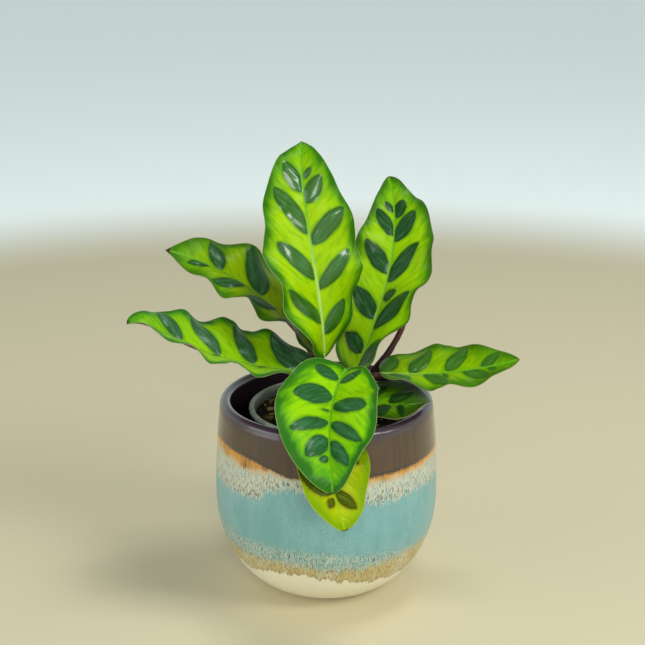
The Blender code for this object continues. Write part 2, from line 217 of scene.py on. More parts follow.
@dataclass(frozen=True)
class LeafSkin:
    """The upper face of a blade: yellow-green, with dark blotches and margin, a midrib and a thin pale rim.

    The two reaches say where the deep green and the dark margin set in and where they are full, in
    millimetres from the margin. Streaks, hairs, mottles and clouds are how fine each noise is, in cycles a
    millimetre across and then along the side veins. Bump is the height of the finest relief, in metres.
    """

    name: str = "leaf_upper_skin"
    ground: Colour = (0.33, 0.55, 0.001)
    ground_deep: Colour = (0.12, 0.34, 0.001)
    blotch: Colour = (0.026, 0.110, 0.006)
    # Lighter streaks inside the blotches: partly the leaf's own silvery feathering, partly painted sheen
    # that stands in for the gloss
    blotch_silver_and_sheen: Colour = (0.052, 0.17, 0.030)
    blotch_rim: Colour = (0.012, 0.066, 0.004)
    halo: Colour = (0.060, 0.26, 0.002)
    margin: Colour = (0.020, 0.130, 0.004)
    rib: Colour = (0.12, 0.40, 0.015)
    rib_pale: Colour = (0.42, 0.64, 0.16)
    rim: Colour = (0.34, 0.46, 0.14)
    dead: Colour = (0.045, 0.030, 0.018)
    deep_reach: Pair = (9.0, 1.5)
    margin_reach: Pair = (4.8, 0.6)
    streaks: Point = (1.1, 0.12, 1.0)
    hairs: Point = (3.6, 0.10, 1.0)
    mottles: Point = (0.34, 0.16, 1.0)
    clouds: float = 0.10
    bump: float = 0.00022
    roughness: float = 0.26
    shine: float = 0.08
    gloss: float = 0.60

    def material(self) -> bpy.types.Material:
        """Builds the material from the blade's attributes."""
        board = Board(bpy.data.materials.new(self.name))
        lamina = board.place("lamina")
        streak = board.grain(lamina, self.streaks, 3.0, 0.6)
        hair = board.grain(lamina, self.hairs, 1.0)
        cloud = board.noise(lamina, self.clouds)
        mottle = board.grain(lamina, self.mottles)
        ragged = streak - 0.5
        edge, blotch, tip = board.number("edge"), board.number("blotch"), board.number("tip")
        wander = (cloud - 0.5) * 8.0

        band = board.number("band") + wander
        green = board.rise(band + ragged * 3.0, *self.deep_reach) * 0.8 + board.rise(tip, 44.0, 6.0) * 0.5
        colour = board.blend(green + board.rise(mottle, 0.46, 0.68) * 0.45, self.ground, self.ground_deep)
        colour = board.blend(board.rise(hair, 0.50, 0.74) * 0.16, colour, self.ground_deep)
        dark_edge = board.rise(band + ragged * 2.4, *self.margin_reach)
        colour = board.blend(dark_edge * 0.92, colour, self.margin)

        patch = blotch + ragged * 1.2 + (cloud - 0.5) * 2.4
        colour = board.blend(board.rise(patch, 1.8, -0.2) * 0.6, colour, self.halo)
        # Streaks inside the blotches, partly silvery feathering and partly painted sheen
        silver_and_sheen = board.rise(streak * 0.6 + hair * 0.4 + mottle * 0.5, 0.66, 0.92)
        dark = board.blend(silver_and_sheen, self.blotch, self.blotch_silver_and_sheen)
        dark = board.blend(board.rise(patch + ragged * 1.6, -1.9, -0.2) * 0.7, dark, self.blotch_rim)
        inside = board.rise(patch, 0.55, -0.75)
        colour = board.blend(inside, colour, dark)

        pale_rib = board.rise(tip, 35.0, 85.0)
        pale = board.blend(pale_rib, self.rib, self.rib_pale)
        on_rib = board.rise(board.number("rib") - pale_rib * 0.5, 0.9, 0.2)
        colour = board.blend(on_rib * 0.85, colour, pale)
        colour = board.blend(board.rise(edge, 0.26, 0.08) * 0.8, colour, self.rim)
        colour = board.blend(board.rise(tip + ragged * 3.0, 0.8, -0.4), colour, self.dead)
        board.relief(hair * 0.5 + streak * 0.5, self.bump)
        return board.finish(
            Base_Color=colour, Roughness=self.roughness + streak * 0.12, Specular_IOR_Level=self.shine,
            Coat_Weight=0.03 + inside * self.gloss, Coat_Roughness=0.14, Coat_IOR=1.6,
        )


LEAF_SKINS = {
    Skin.FRESH: LeafSkin(),
    Skin.EDGED: LeafSkin(
        name="leaf_upper_skin_edged", ground=(0.29, 0.60, 0.001), ground_deep=(0.09, 0.35, 0.002),
        blotch=(0.018, 0.094, 0.018), blotch_silver_and_sheen=(0.042, 0.17, 0.065), blotch_rim=(0.008, 0.056, 0.010),
        margin=(0.018, 0.125, 0.006), rib_pale=(0.20, 0.50, 0.03), deep_reach=(7.5, 3.0),
        margin_reach=(4.8, 1.8), gloss=0.10,
    ),
    # Painted sheen: the sleek skin's brighter, bluer blotch streaks stand in for the glossy reflections on
    # that leaf's blotches
    Skin.SLEEK: LeafSkin(
        name="leaf_upper_skin_sleek", ground=(0.28, 0.56, 0.001), ground_deep=(0.09, 0.33, 0.002),
        blotch=(0.024, 0.100, 0.020), blotch_silver_and_sheen=(0.085, 0.22, 0.12), blotch_rim=(0.008, 0.056, 0.010),
        margin=(0.020, 0.125, 0.006), rib_pale=(0.20, 0.50, 0.03), deep_reach=(7.5, 3.0),
        margin_reach=(4.4, 1.2), gloss=0.15,
    ),
    Skin.DEEP: LeafSkin(
        name="leaf_upper_skin_deep", ground=(0.30, 0.54, 0.001), ground_deep=(0.10, 0.30, 0.001),
        blotch=(0.011, 0.056, 0.009), blotch_silver_and_sheen=(0.036, 0.13, 0.045), blotch_rim=(0.005, 0.030, 0.004),
        halo=(0.070, 0.24, 0.002), margin=(0.030, 0.125, 0.004), rib_pale=(0.24, 0.50, 0.03),
        rim=(0.15, 0.10, 0.035), deep_reach=(7.5, 2.0), margin_reach=(4.2, 0.8), gloss=0.14,
    ),
    Skin.MUTED: LeafSkin(
        name="leaf_upper_skin_muted", ground=(0.30, 0.50, 0.001), ground_deep=(0.11, 0.30, 0.001),
        blotch=(0.022, 0.095, 0.016), blotch_silver_and_sheen=(0.055, 0.18, 0.070), blotch_rim=(0.007, 0.040, 0.005),
        halo=(0.070, 0.22, 0.002), margin=(0.040, 0.15, 0.004), rim=(0.24, 0.25, 0.10),
        shine=0.06, gloss=0.12,
    ),
    Skin.SOFT: LeafSkin(
        name="leaf_upper_skin_soft", ground=(0.25, 0.47, 0.001), ground_deep=(0.10, 0.28, 0.001),
        blotch=(0.036, 0.135, 0.007), blotch_silver_and_sheen=(0.070, 0.22, 0.030), blotch_rim=(0.022, 0.090, 0.003),
        halo=(0.10, 0.27, 0.002), margin=(0.045, 0.15, 0.004), rim=(0.26, 0.22, 0.07),
        shine=0.05, gloss=0.10,
    ),
    # Painted shade: a darker copy of the leaf skin for the small leaf in the pot, which lies in the other
    # leaves' shade
    Skin.SHADED: LeafSkin(
        name="leaf_upper_skin_shaded", ground=(0.16, 0.40, 0.001), ground_deep=(0.036, 0.12, 0.001),
        blotch=(0.007, 0.034, 0.003), blotch_silver_and_sheen=(0.020, 0.075, 0.014), blotch_rim=(0.003, 0.015, 0.001),
        halo=(0.020, 0.085, 0.001), margin=(0.030, 0.065, 0.003), rib=(0.09, 0.28, 0.006),
        rim=(0.34, 0.30, 0.12), shine=0.02, gloss=0.03,
    ),
    # The brown halo round this skin's blotches is partly their own brown edges and partly painted shade from
    # the front leaf above
    Skin.YELLOW: LeafSkin(
        name="leaf_upper_skin_yellow", ground=(0.50, 0.58, 0.001), ground_deep=(0.27, 0.40, 0.001),
        blotch=(0.055, 0.085, 0.002), blotch_silver_and_sheen=(0.10, 0.16, 0.003), blotch_rim=(0.045, 0.045, 0.001),
        halo=(0.20, 0.17, 0.002), margin=(0.17, 0.31, 0.002), rib=(0.28, 0.46, 0.01),
        rib_pale=(0.42, 0.55, 0.05), rim=(0.45, 0.50, 0.06), shine=0.02, gloss=0.0,
    ),
}


@dataclass(frozen=True)
class LeafUnderside:
    """The lower face of a blade: maroon, lighter along the rib."""

    name: str = "leaf_lower_skin"
    deep: Colour = (0.075, 0.008, 0.020)
    light: Colour = (0.17, 0.026, 0.040)
    rib: Colour = (0.20, 0.09, 0.05)
    streaks: Point = (1.4, 0.14, 1.0)
    hairs: Point = (3.0, 0.12, 1.0)
    bump: float = 0.00012

    def material(self) -> bpy.types.Material:
        """Builds the material from the blade's attributes."""
        board = Board(bpy.data.materials.new(self.name))
        lamina = board.place("lamina")
        streak = board.grain(lamina, self.streaks, 3.0, 0.6)
        colour = board.blend(board.rise(streak, 0.3, 0.75), self.deep, self.light)
        colour = board.blend(board.rise(board.number("rib"), 1.3, 0.5), colour, self.rib)
        board.relief(board.grain(lamina, self.hairs), self.bump)
        return board.finish(Base_Color=colour, Roughness=0.45 + streak * 0.15, Specular_IOR_Level=0.35)


@dataclass(frozen=True)
class StemSkin:
    """A petiole: purple-brown and finely dotted, redder at the knee under the blade."""

    name: str = "petiole_skin"
    deep: Colour = (0.008, 0.005, 0.004)
    light: Colour = (0.028, 0.014, 0.010)
    knee: Colour = (0.10, 0.030, 0.022)
    grain: Point = (1.0, 1.0, 0.12)
    grain_scale: float = 1500.0
    speck_scale: float = 1900.0
    bump: float = 0.00008

    def material(self) -> bpy.types.Material:
        """Builds the material from the stem's attributes."""
        board = Board(bpy.data.materials.new(self.name))
        at = board.object_place()
        grain = board.noise(board.stretched(at, self.grain), self.grain_scale, 3.0)
        speck = board.rise(board.noise(at, self.speck_scale), 0.60, 0.68)
        colour = board.blend(board.rise(grain, 0.35, 0.70), self.deep, self.light)
        colour = board.blend(speck * 0.25, colour, self.knee)
        colour = board.blend(board.number("knee") * 0.9, colour, self.knee)
        board.relief(grain, self.bump)
        return board.finish(Base_Color=colour, Roughness=0.36 + grain * 0.12, Specular_IOR_Level=0.16)


@dataclass(frozen=True)
class Glaze:
    """Poured stoneware glazes: brown over a rusty line, cream streaks, speckled turquoise, ochre and cream.

    The mesh brings six heights in millimetres, each above the lower edge of one band. Streaks, clouds,
    drips, specks and dashes are how fine each noise is, in cycles a millimetre round the pot, and up it in
    the last of the three. Bump is the height of the relief below the brown glaze, in metres.
    """

    name: str = "poured_glazes"
    brown: Colour = (0.062, 0.033, 0.014)
    brown_deep: Colour = (0.030, 0.013, 0.014)
    brown_edge: Colour = (0.020, 0.022, 0.018)
    plum: Colour = (0.036, 0.020, 0.030)
    # Painted shade: the near-black colour of the pot's inside below the lip
    painted_well_shade: Colour = (0.006, 0.005, 0.006)
    rust: Colour = (0.57, 0.27, 0.040)
    rust_deep: Colour = (0.17, 0.070, 0.022)
    rust_pale: Colour = (0.56, 0.42, 0.22)
    cream: Colour = (0.60, 0.58, 0.42)
    ice: Colour = (0.36, 0.45, 0.41)
    fleck: Colour = (0.050, 0.042, 0.032)
    turquoise: Colour = (0.156, 0.366, 0.372)
    turquoise_light: Colour = (0.30, 0.50, 0.49)
    turquoise_deep: Colour = (0.125, 0.31, 0.31)
    ochre: Colour = (0.50, 0.38, 0.13)
    ochre_deep: Colour = (0.26, 0.18, 0.08)
    foot: Colour = (0.82, 0.77, 0.60)
    streaks: Point = (2.0, 2.0, 0.15)
    clouds: Point = (0.11, 0.11, 0.05)
    drips: Point = (0.24, 0.24, 0.015)
    specks: Point = (2.3, 2.3, 1.8)
    dashes: Point = (1.8, 1.8, 0.45)
    bump: float = 0.00012

    def material(self) -> bpy.types.Material:
        """Builds the material from the pot's attributes."""
        board = Board(bpy.data.materials.new(self.name))
        wrap = board.place("wrap")
        streak = board.grain(wrap, self.streaks, 3.0, 0.6)
        broad = board.grain(wrap, self.clouds)
        drip = board.grain(wrap, self.drips)
        speck = board.grain(wrap, self.specks, 1.0)
        dash = board.grain(wrap, self.dashes, 1.0)
        ragged = streak - 0.5
        brown, rust, cream, teal, tan, base = (board.number(f"over_{name}") for name in BANDS)

        pool = board.blend(board.rise(speck, 0.40, 0.66) * 0.6, self.turquoise, self.turquoise_light)
        pool = board.blend(board.rise(broad + ragged * 0.25, 0.42, 0.66) * 0.5, pool, self.turquoise_deep)

        upper = board.blend(board.rise(streak, 0.36, 0.64), self.ice, self.cream)
        low = board.rise(cream, 9.0, 2.0)
        upper = board.blend(board.rise(dash + low * 0.07, 0.59, 0.68) * 0.75, upper, self.fleck)
        colour = board.blend(board.rise(cream + ragged * 17.0 + (drip - 0.5) * 6.0, -0.8, 1.4), pool, upper)

        burnt = board.rise(streak * 0.4 + drip * 0.4 + broad * 0.5, 0.62, 0.82)
        rusty = board.blend(burnt, self.rust, self.rust_deep)
        milky = board.rise(rust + ragged * 7.0 + (broad - 0.5) * 7.0, 3.0, 0.4)
        rusty = board.blend(milky, rusty, self.rust_pale)
        rusty = board.blend(board.rise(brown + ragged * 4.0, -1.5, -0.1), rusty, self.rust_deep)
        colour = board.blend(board.rise(rust + ragged * 9.0, -1.4, 1.0), colour, rusty)

        grey = board.blend(board.rise(speck + ragged * 0.6, 0.44, 0.60), self.turquoise, self.cream)
        grey = board.blend(board.rise(dash, 0.56, 0.65) * 0.8, grey, self.fleck)
        colour = board.blend(board.rise(teal + ragged * 13.0, 1.6, -2.8) * 0.85, colour, grey)
        tint = streak * 0.45 + speck * 0.25 + broad * 0.30
        sand = board.blend(board.rise(tint, 0.46, 0.60), self.ochre, self.cream)
        sand = board.blend(board.rise(dash, 0.54, 0.62) * 0.8, sand, self.ochre_deep)
        colour = board.blend(board.rise(tan + ragged * 14.0 + (drip - 0.5) * 6.0, 3.0, -3.0), colour, sand)
        line = base + ragged * 5.0 + (drip - 0.5) * 11.0
        colour = board.blend(board.rise(line, 1.5, 0.3) * 0.6, colour, self.ochre_deep)
        clay = board.blend(board.rise(speck, 0.58, 0.70) * 0.30, self.foot, self.ochre)
        colour = board.blend(board.rise(line, 0.35, -0.35), colour, clay)

        top = board.blend(board.rise(drip + ragged * 0.4, 0.38, 0.66) * 0.6, self.brown, self.brown_deep)
        hem = brown + (drip - 0.5) * 3.0
        top = board.blend(board.rise(hem, 1.6, 0.5), top, self.brown_edge)
        lip = board.number("lip")
        top = board.blend(lip, top, self.plum)
        # Painted shade: the inside darkens down from the lip into the well
        shade = board.rise(brown, 23.0, 28.0)
        top = board.blend(shade, top, self.painted_well_shade)
        glossy = board.rise(hem + ragged * 0.8, -0.3, 0.3)
        colour = board.blend(glossy, colour, top)
        height = streak * 0.4 + speck * 0.6
        board.relief(height * (1.0 - glossy), self.bump)
        return board.finish(
            Base_Color=colour, Roughness=0.36 - glossy * 0.21 + lip * 0.10,
            Coat_Weight=0.25 + glossy * 0.45 - shade * 0.55 - lip * 0.25,
            Coat_Roughness=0.12,
        )


@dataclass(frozen=True)
class NurseryPlastic:
    """Thin grey-green plastic with faint scuffs, which darkens down the wall between two heights."""

    name: str = "grey_green_plastic"
    light: Colour = (0.33, 0.38, 0.29)
    dark: Colour = (0.10, 0.13, 0.09)
    shaded: Pair = (0.0968, 0.0950)
    scuffs: Point = (1.0, 1.0, 3.0)
    scuff_scale: float = 420.0
    grime_scale: float = 90.0
    bump: float = 0.00005

    def material(self) -> bpy.types.Material:
        """Builds the material from Object coordinates."""
        board = Board(bpy.data.materials.new(self.name))
        at = board.object_place()
        scuff = board.noise(board.stretched(at, self.scuffs), self.scuff_scale, 4.0, 0.7)
        grime = board.noise(at, self.grime_scale, 3.0)
        height = board.node("ShaderNodeSeparateXYZ", {}, {0: at}, "Z")
        # Painted shade: the wall darkens below the rim between the heights in shaded, towards the same dark
        # colour that scuffs and grime reach
        low = board.rise(height, *self.shaded)
        colour = board.blend(board.rise(scuff * 0.5 + grime * 0.5, 0.35, 0.70) + low, self.light, self.dark)
        board.relief(scuff, self.bump)
        return board.finish(Base_Color=colour, Roughness=0.42 + scuff * 0.2)


@dataclass(frozen=True)
class Earth:
    """Peat, crumbs or bark: a dark and a light tone, mottled, with the mesh's own tone for each grain."""

    name: str
    dark: Colour
    light: Colour
    grain: Point = (1.0, 1.0, 1.0)
    scale: float = 900.0
    depth: float = 0.0004

    def material(self) -> bpy.types.Material:
        """Builds the material from Object coordinates and the tone attribute."""
        board = Board(bpy.data.materials.new(self.name))
        at = board.stretched(board.object_place(), self.grain)
        mottle = board.noise(at, self.scale, 4.0, 0.7)
        share = board.rise(mottle * 0.55 + board.number("tone") * 0.6, 0.28, 0.88)
        board.relief(mottle, self.depth)
        return board.finish(
            Base_Color=board.blend(share, self.dark, self.light), Roughness=0.8 + mottle * 0.15,
            Specular_IOR_Level=0.15,
        )


@dataclass(frozen=True)
class StageFloor:
    """A pale matt floor, warm round the pot and cooler far from it."""

    name: str = "stage_floor"
    near: Colour = (0.63, 0.565, 0.37)
    far: Colour = (0.88, 0.95, 0.93)
    # Painted light: the floor glows faintly round the pot, lifting its shade there, and more strongly far
    # from it
    near_glow: Colour = (0.030, 0.028, 0.020)
    glow: Colour = (0.20, 0.235, 0.23)
    fade: Pair = (0.66, 0.94)

    def material(self) -> bpy.types.Material:
        """Builds the material from the distance to the pot."""
        board = Board(bpy.data.materials.new(self.name))
        at = board.object_place()
        away = board.node("ShaderNodeVectorMath", {"operation": "LENGTH"}, {0: at}, "Value")
        share = board.rise(away, *self.fade)
        # Painted light: the floor's glow by distance from the pot
        glow = board.blend(share, self.near_glow, self.glow)
        return board.finish(
            Base_Color=board.blend(share, self.near, self.far), Roughness=0.55, Emission_Color=glow,
            Emission_Strength=1.0,
        )


def between(start: float, end: float, share: np.ndarray) -> np.ndarray:
    """The values the given shares of the way from start to end."""
    return start + (end - start) * share


def crowded(share: np.ndarray, strength: float) -> np.ndarray:
    """Shares from 0 to 1, drawn closer together at both ends."""
    return share - strength * np.sin(TURN * share) / TURN


def unit(vectors: np.ndarray) -> np.ndarray:
    """The vectors at length one."""
    return vectors / np.linalg.norm(vectors, axis=-1, keepdims=True)


def heading(azimuth: np.ndarray, pitch: np.ndarray) -> np.ndarray:
    """Unit vectors along the given azimuths and pitches, in degrees."""
    a, p = np.radians(azimuth), np.radians(pitch)
    return np.stack([np.cos(p) * np.cos(a), np.cos(p) * np.sin(a), np.sin(p)], axis=-1)


def left_of(azimuth: np.ndarray) -> np.ndarray:
    """Level unit vectors to the left of the given azimuths."""
    a = np.radians(azimuth)
    return np.stack([-np.sin(a), np.cos(a), np.zeros_like(a)], axis=-1)


def turned_about(
    along: np.ndarray, across: np.ndarray, degrees: np.ndarray
) -> tuple[np.ndarray, np.ndarray]:
    """Rolls vectors about others.

    Args:
        along: the unit vectors to turn about.
        across: what is turned, once squared to them.
        degrees: how far.

    Returns:
        The rolled vectors, and what then points up from both.
    """
    angle = np.radians(degrees)[..., None]
    across = unit(across - along * np.sum(along * across, axis=-1, keepdims=True))
    rolled = across * np.cos(angle) + np.cross(along, across) * np.sin(angle)
    return rolled, np.cross(along, rolled)


def deselect() -> None:
    """Leaves nothing selected."""
    bpy.ops.object.select_all(action="DESELECT")


def named(name: str) -> bpy.types.Object:
    """The new active object, given a name."""
    piece = bpy.context.active_object
    piece.name = piece.data.name = name
    return piece


def corners(piece: bpy.types.Object) -> np.ndarray:
    """The piece's vertices, one row each."""
    flat = np.empty(len(piece.data.vertices) * 3, np.float32)
    piece.data.vertices.foreach_get("co", flat)
    return flat.reshape(-1, 3).astype(float)


def move(piece: bpy.types.Object, points: np.ndarray) -> None:
    """Puts the piece's vertices at the points."""
    piece.data.vertices.foreach_set("co", points.astype(np.float32).ravel())
    piece.data.update()


def stand(piece: bpy.types.Object, centre: Pair) -> None:
    """Moves the piece's vertices sideways, from the origin to the centre."""
    move(piece, corners(piece) + (*centre, 0.0))


def paint(piece: bpy.types.Object, name: str, values: np.ndarray) -> None:
    """Stores a number or a vector for each vertex, which the finishes read."""
    vector = values.ndim == 2
    layer = piece.data.attributes.new(name, "FLOAT_VECTOR" if vector else "FLOAT", "POINT")
    layer.data.foreach_set("vector" if vector else "value", values.astype(np.float32).ravel())


def apply(piece: bpy.types.Object, kind: str, **settings: object) -> None:
    """Adds a modifier to the piece and applies it.

    Args:
        piece: the object.
        kind: the modifier's type.
        settings: its properties.
    """
    modifier = piece.modifiers.new(kind.lower(), kind)
    for name, value in settings.items():
        setattr(modifier, name, value)
    bpy.context.view_layer.objects.active = piece
    bpy.ops.object.modifier_apply(modifier=modifier.name)


def smooth(piece: bpy.types.Object, degrees: float = 40.0) -> None:
    """Shades the piece smooth, apart from edges sharper than the angle."""
    deselect()
    piece.select_set(True)
    bpy.context.view_layer.objects.active = piece
    bpy.ops.object.shade_smooth_by_angle(angle=math.radians(degrees))


def set_down(piece: bpy.types.Object, node: str, slot: Slot, *materials: bpy.types.Material) -> None:
    """Dresses a piece and has it stand for its node.

    Args:
        piece: the finished object.
        node: the plain node that it stands for.
        slot: the record's slot of its finish; not used.
        materials: its materials, in the order of its faces' numbers.
    """
    for index, material in enumerate(materials):
        if index < len(piece.data.materials):
            piece.data.materials[index] = material
        else:
            piece.data.materials.append(material)
    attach(piece, BODY)
    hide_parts(node)
    LOG.info("%s: %d faces", piece.name, len(piece.data.polygons))


def new_grid(name: str, rows: int, columns: int) -> bpy.types.Object:
    """A flat grid from -1 to 1 both ways, with its rows along X."""
    deselect()
    bpy.ops.mesh.primitive_grid_add(x_subdivisions=rows, y_subdivisions=columns, size=2)
    return named(name)


def new_rod(name: str, sides: int, cuts: int) -> bpy.types.Object:
    """A closed rod of radius 1 from -1 to 1 along Z, cut into rings."""
    deselect()
    bpy.ops.mesh.primitive_cylinder_add(vertices=sides, radius=1, depth=2, end_fill_type="TRIFAN")
    piece = named(name)
    ends = corners(piece)[:, 2]
    for edge in piece.data.edges:
        edge.select = bool(abs(ends[edge.vertices[0]] - ends[edge.vertices[1]]) > 1)
    for face in piece.data.polygons:
        face.select = False
    bpy.ops.object.mode_set(mode="EDIT")
    bpy.ops.mesh.select_mode(type="EDGE")
    bpy.ops.mesh.subdivide(number_cuts=cuts)
    bpy.ops.object.mode_set(mode="OBJECT")
    return piece


def turned(name: str, profile: list[Pair], segments: int) -> bpy.types.Object:
    """Draws a closed round body up its profile, by extruding a disc and resizing it ring after ring.

    Args:
        name: the object's name.
        profile: radius and height of each ring, from the first disc to the last.
        segments: how many sides it has.

    Returns:
        The body, at the origin.
    """
    deselect()
    radius, height = profile[0]
    bpy.ops.mesh.primitive_circle_add(
        vertices=segments, radius=radius, fill_type="NGON", location=(0, 0, height),
    )
    piece = named(name)
    bpy.ops.object.transform_apply(location=True, rotation=False, scale=False)
    bpy.ops.object.mode_set(mode="EDIT")
    bpy.ops.mesh.select_mode(type="FACE")
    bpy.ops.mesh.select_all(action="SELECT")
    for next_radius, next_height in profile[1:]:
        bpy.ops.mesh.extrude_region_move(TRANSFORM_OT_translate={"value": (0, 0, next_height - height)})
        size = next_radius / radius
        bpy.ops.transform.resize(value=(size, size, 1), center_override=(0, 0, 0))
        radius, height = next_radius, next_height
    bpy.ops.mesh.select_all(action="SELECT")
    bpy.ops.mesh.normals_make_consistent(inside=False)
    bpy.ops.object.mode_set(mode="OBJECT")
    return piece


@dataclass(frozen=True)
class Blotch:
    """A dark patch on one half of a blade, from its foot by the rib towards the margin.

    Foot and end are shares of the blade's length, reach the share of the half's width at its end, and width
    its own width in millimetres. It starts a little off the rib, in millimetres too. Skew moves its widest
    place towards the foot, and the smaller fullness is, the blunter are its ends.
    """

    foot: float
    end: float
    reach: float
    width: float

    START = 0.9
    SKEW = 0.9
    FULLNESS = 0.58

    def distance(self, x: np.ndarray, y: np.ndarray, length: float, half_width: float) -> np.ndarray:
        """How far points lie outside the patch.

        Args:
            x: their distance along the blade, in millimetres.
            y: their distance from the rib.
            length: the blade's length.
            half_width: the half's width at the patch's end.

        Returns:
            Millimetres, negative inside.
        """
        first = np.array([self.foot * length, self.START])
        axis = np.array([self.end * length, self.reach * half_width]) - first
        size = math.hypot(*axis)
        along = ((x - first[0]) * axis[0] + (y - first[1]) * axis[1]) / size
        share = np.clip(along / size, 0, 1)
        away = np.hypot(x - first[0] - share * axis[0], y - first[1] - share * axis[1])
        return away - self.width / 2 * np.sin(math.pi * share**self.SKEW) ** self.FULLNESS


@dataclass(frozen=True)
class LeafLook:
    """The finishes that all leaves share."""

    upper: dict[Skin, bpy.types.Material]
    lower: bpy.types.Material
    stem: bpy.types.Material


@dataclass(frozen=True)
class Leaf:
    """One leaf: a waved blade, its petiole, and the sheath round the petiole's foot.

    Root is where the stem leaves the soil, and base where the blade begins. Lengths are in metres and angles
    in degrees; azimuth 0 is +X and 90 is +Y. A pair in azimuth, pitch and roll is for the blade's base and
    tip. A pair in width, keel, wave and phase is for the halves to the left and to the right of the midrib,
    seen along it from the stem. Keel is how far a half rises from the midrib, droop how far it bends back by
    its margin, wave how high the margin ripples, and waves how many ripples it has. Base_round, widest and
    tip shape the outline. Curl bends the tip further down, and flatten is the share by which a half's keel
    eases off by the tip. Left and right are the blotches of the two halves. Brown_tip is how much of the tip
    is withered, in millimetres, and band widens the dark margin of a half.
    """

    name: str
    root: Pair
    base: Point
    azimuth: Pair
    pitch: Pair
    roll: Pair
    length: float
    width: Pair
    keel: Pair
    droop: float
    wave: Pair
    waves: float
    phase: Pair
    base_round: float
    widest: float
    tip: float
    curl: float = 0.0
    flatten: Pair = (0.0, 0.0)
    left: tuple[Blotch, ...] = ()
    right: tuple[Blotch, ...] = ()
    brown_tip: float = 0.4
    band: Pair = (1.0, 1.0)
    skin: Skin = Skin.FRESH

    # The blade's form, in metres and shares of its length
    CURL_START = 0.8
    TIP_HALF_WIDTH = 0.0004
    RIPPLE_POWER = 1.7
    FLUTTER = 0.0032
    FLUTTER_POWER = 5
    FLUTTER_SPACING = 0.012
    FLUTTER_DRIFT = 0.4
    DRIFT_RATE = 13

    # The blade's mesh and thickness
    ROWS = 176
    COLUMNS = 72
    ROW_CROWDING = 0.6
    COLUMN_CROWDING = 0.35
    THICKEST = 0.0014
    THICKNESS = 0.00042
    MARGIN_SHARE = 0.45

    # The markings and the relief: heights in metres, and other lengths in millimetres
    VEIN_SPACING = 3.1
    VEIN_SLANT = 0.75
    VEIN_BEND = 0.3
    OWN_PLACE = 900
    NO_BLOTCH = 99.0
    GROOVE = 0.32 * MM
    GROOVE_WIDTH = 0.8
    SWELL = 0.07 * MM
    PILLOW = 0.60 * MM
    PILLOW_REACH = 4.2
    PILLOW_START = 0.2
    RIB_WIDTH = 1.0
    RIB_FADE = 2
    EDGE_FADE = 3
    THIN_EDGE = 2.5

    # The petiole
    SOIL_TOP = 0.093
    STEM_DEPTH = 0.008
    STEM_RADIUS = 0.0017
    NECK_RADIUS = 0.0014
    STEM_REACH = 0.9
    STEM_SIDES = 20
    STEM_RINGS = 44
    RIB_RINGS = 14
    RIB_REACH = 0.16
    RIB_END = 0.35 * MM
    RIB_TAPER = 0.7
    RIB_CLEARANCE = 0.45 * MM
    KNEE_SHORTNESS = 3.2
    KNEE_SWELL = 0.14
    KNEE_END = 0.3

    # The sheath: pairs for its foot and top, in millimetres off the petiole and degrees round to each side
    SHEATH_ROWS = 40
    SHEATH_COLUMNS = 18
    SHEATH_STEPS = 84
    PATH_STEPS = 120
    SHEATH_GAP = (0.85, 0.10)
    SHEATH_WRAP = (165, 40)
    SHEATH_NARROWING = 1.6
    SHEATH_THICKNESS = 0.3 * MM
    SHEATH_REDNESS = 0.35

    def midrib(self, t: np.ndarray) -> tuple[np.ndarray, np.ndarray, np.ndarray]:
        """Midrib points at the shares t, with the vectors to the left of and up from each."""
        azimuth = between(*self.azimuth, t)
        bend = self.curl * np.clip((t - self.CURL_START) / (1 - self.CURL_START), 0, 1) ** 2
        along = heading(azimuth, between(*self.pitch, t) - bend)
        steps = (along[1:] + along[:-1]) / 2 * np.diff(t)[:, None] * self.length
        points = np.array(self.base) + np.vstack([np.zeros(3), np.cumsum(steps, axis=0)])
        left, up = turned_about(along, left_of(azimuth), between(*self.roll, t))
        return points, left, up

    def half_width(self, t: np.ndarray, side: int) -> np.ndarray:
        """Half the blade's width at the shares t, on side 0 (left) or 1 (right)."""
        rise = self.base_round
        fall = self.tip * rise * (1 - self.widest) / self.widest
        peak = rise / (rise + fall)
        shape = (t / peak) ** rise * ((1 - t) / (1 - peak)) ** fall
        return np.maximum(shape * self.width[side], self.TIP_HALF_WIDTH)

    def surface(self, t: np.ndarray, columns: np.ndarray) -> np.ndarray:
        """The blade's upper face.

        Args:
            t: shares of its length.
            columns: places across it, from -1 at the right margin to 1 at the left one.

        Returns:
            A point for each share and column.
        """
        points, left, up = self.midrib(t)
        surface = np.empty((len(t), len(columns), 3))
        swell = np.sqrt(np.sin(math.pi * t).clip(0))
        for index, column in enumerate(columns):
            side = 0 if column > 0 else 1
            share = abs(column)
            keel = math.radians(self.keel[side]) * (1 - self.flatten[side] * t)
            droop = math.radians(self.droop)
            width = self.half_width(t, side)
            reach = (np.sin(keel) - np.sin(keel - droop * share)) / droop * width
            rise = (np.cos(keel - droop * share) - np.cos(keel)) / droop * width
            turns = self.waves * t + self.phase[side]
            rise = rise + self.wave[side] * share**self.RIPPLE_POWER * swell * np.sin(TURN * turns)
            drift = self.FLUTTER_DRIFT * np.sin(self.DRIFT_RATE * t + side)
            turns = self.length / self.FLUTTER_SPACING * t + self.phase[side] + drift
            flutter = self.FLUTTER * self.length * share**self.FLUTTER_POWER
            rise = rise + flutter * swell * np.sin(TURN * turns)
            reach = reach * (1 if column > 0 else -1)
            surface[:, index] = points + left * reach[:, None] + up * rise[:, None]
        return surface

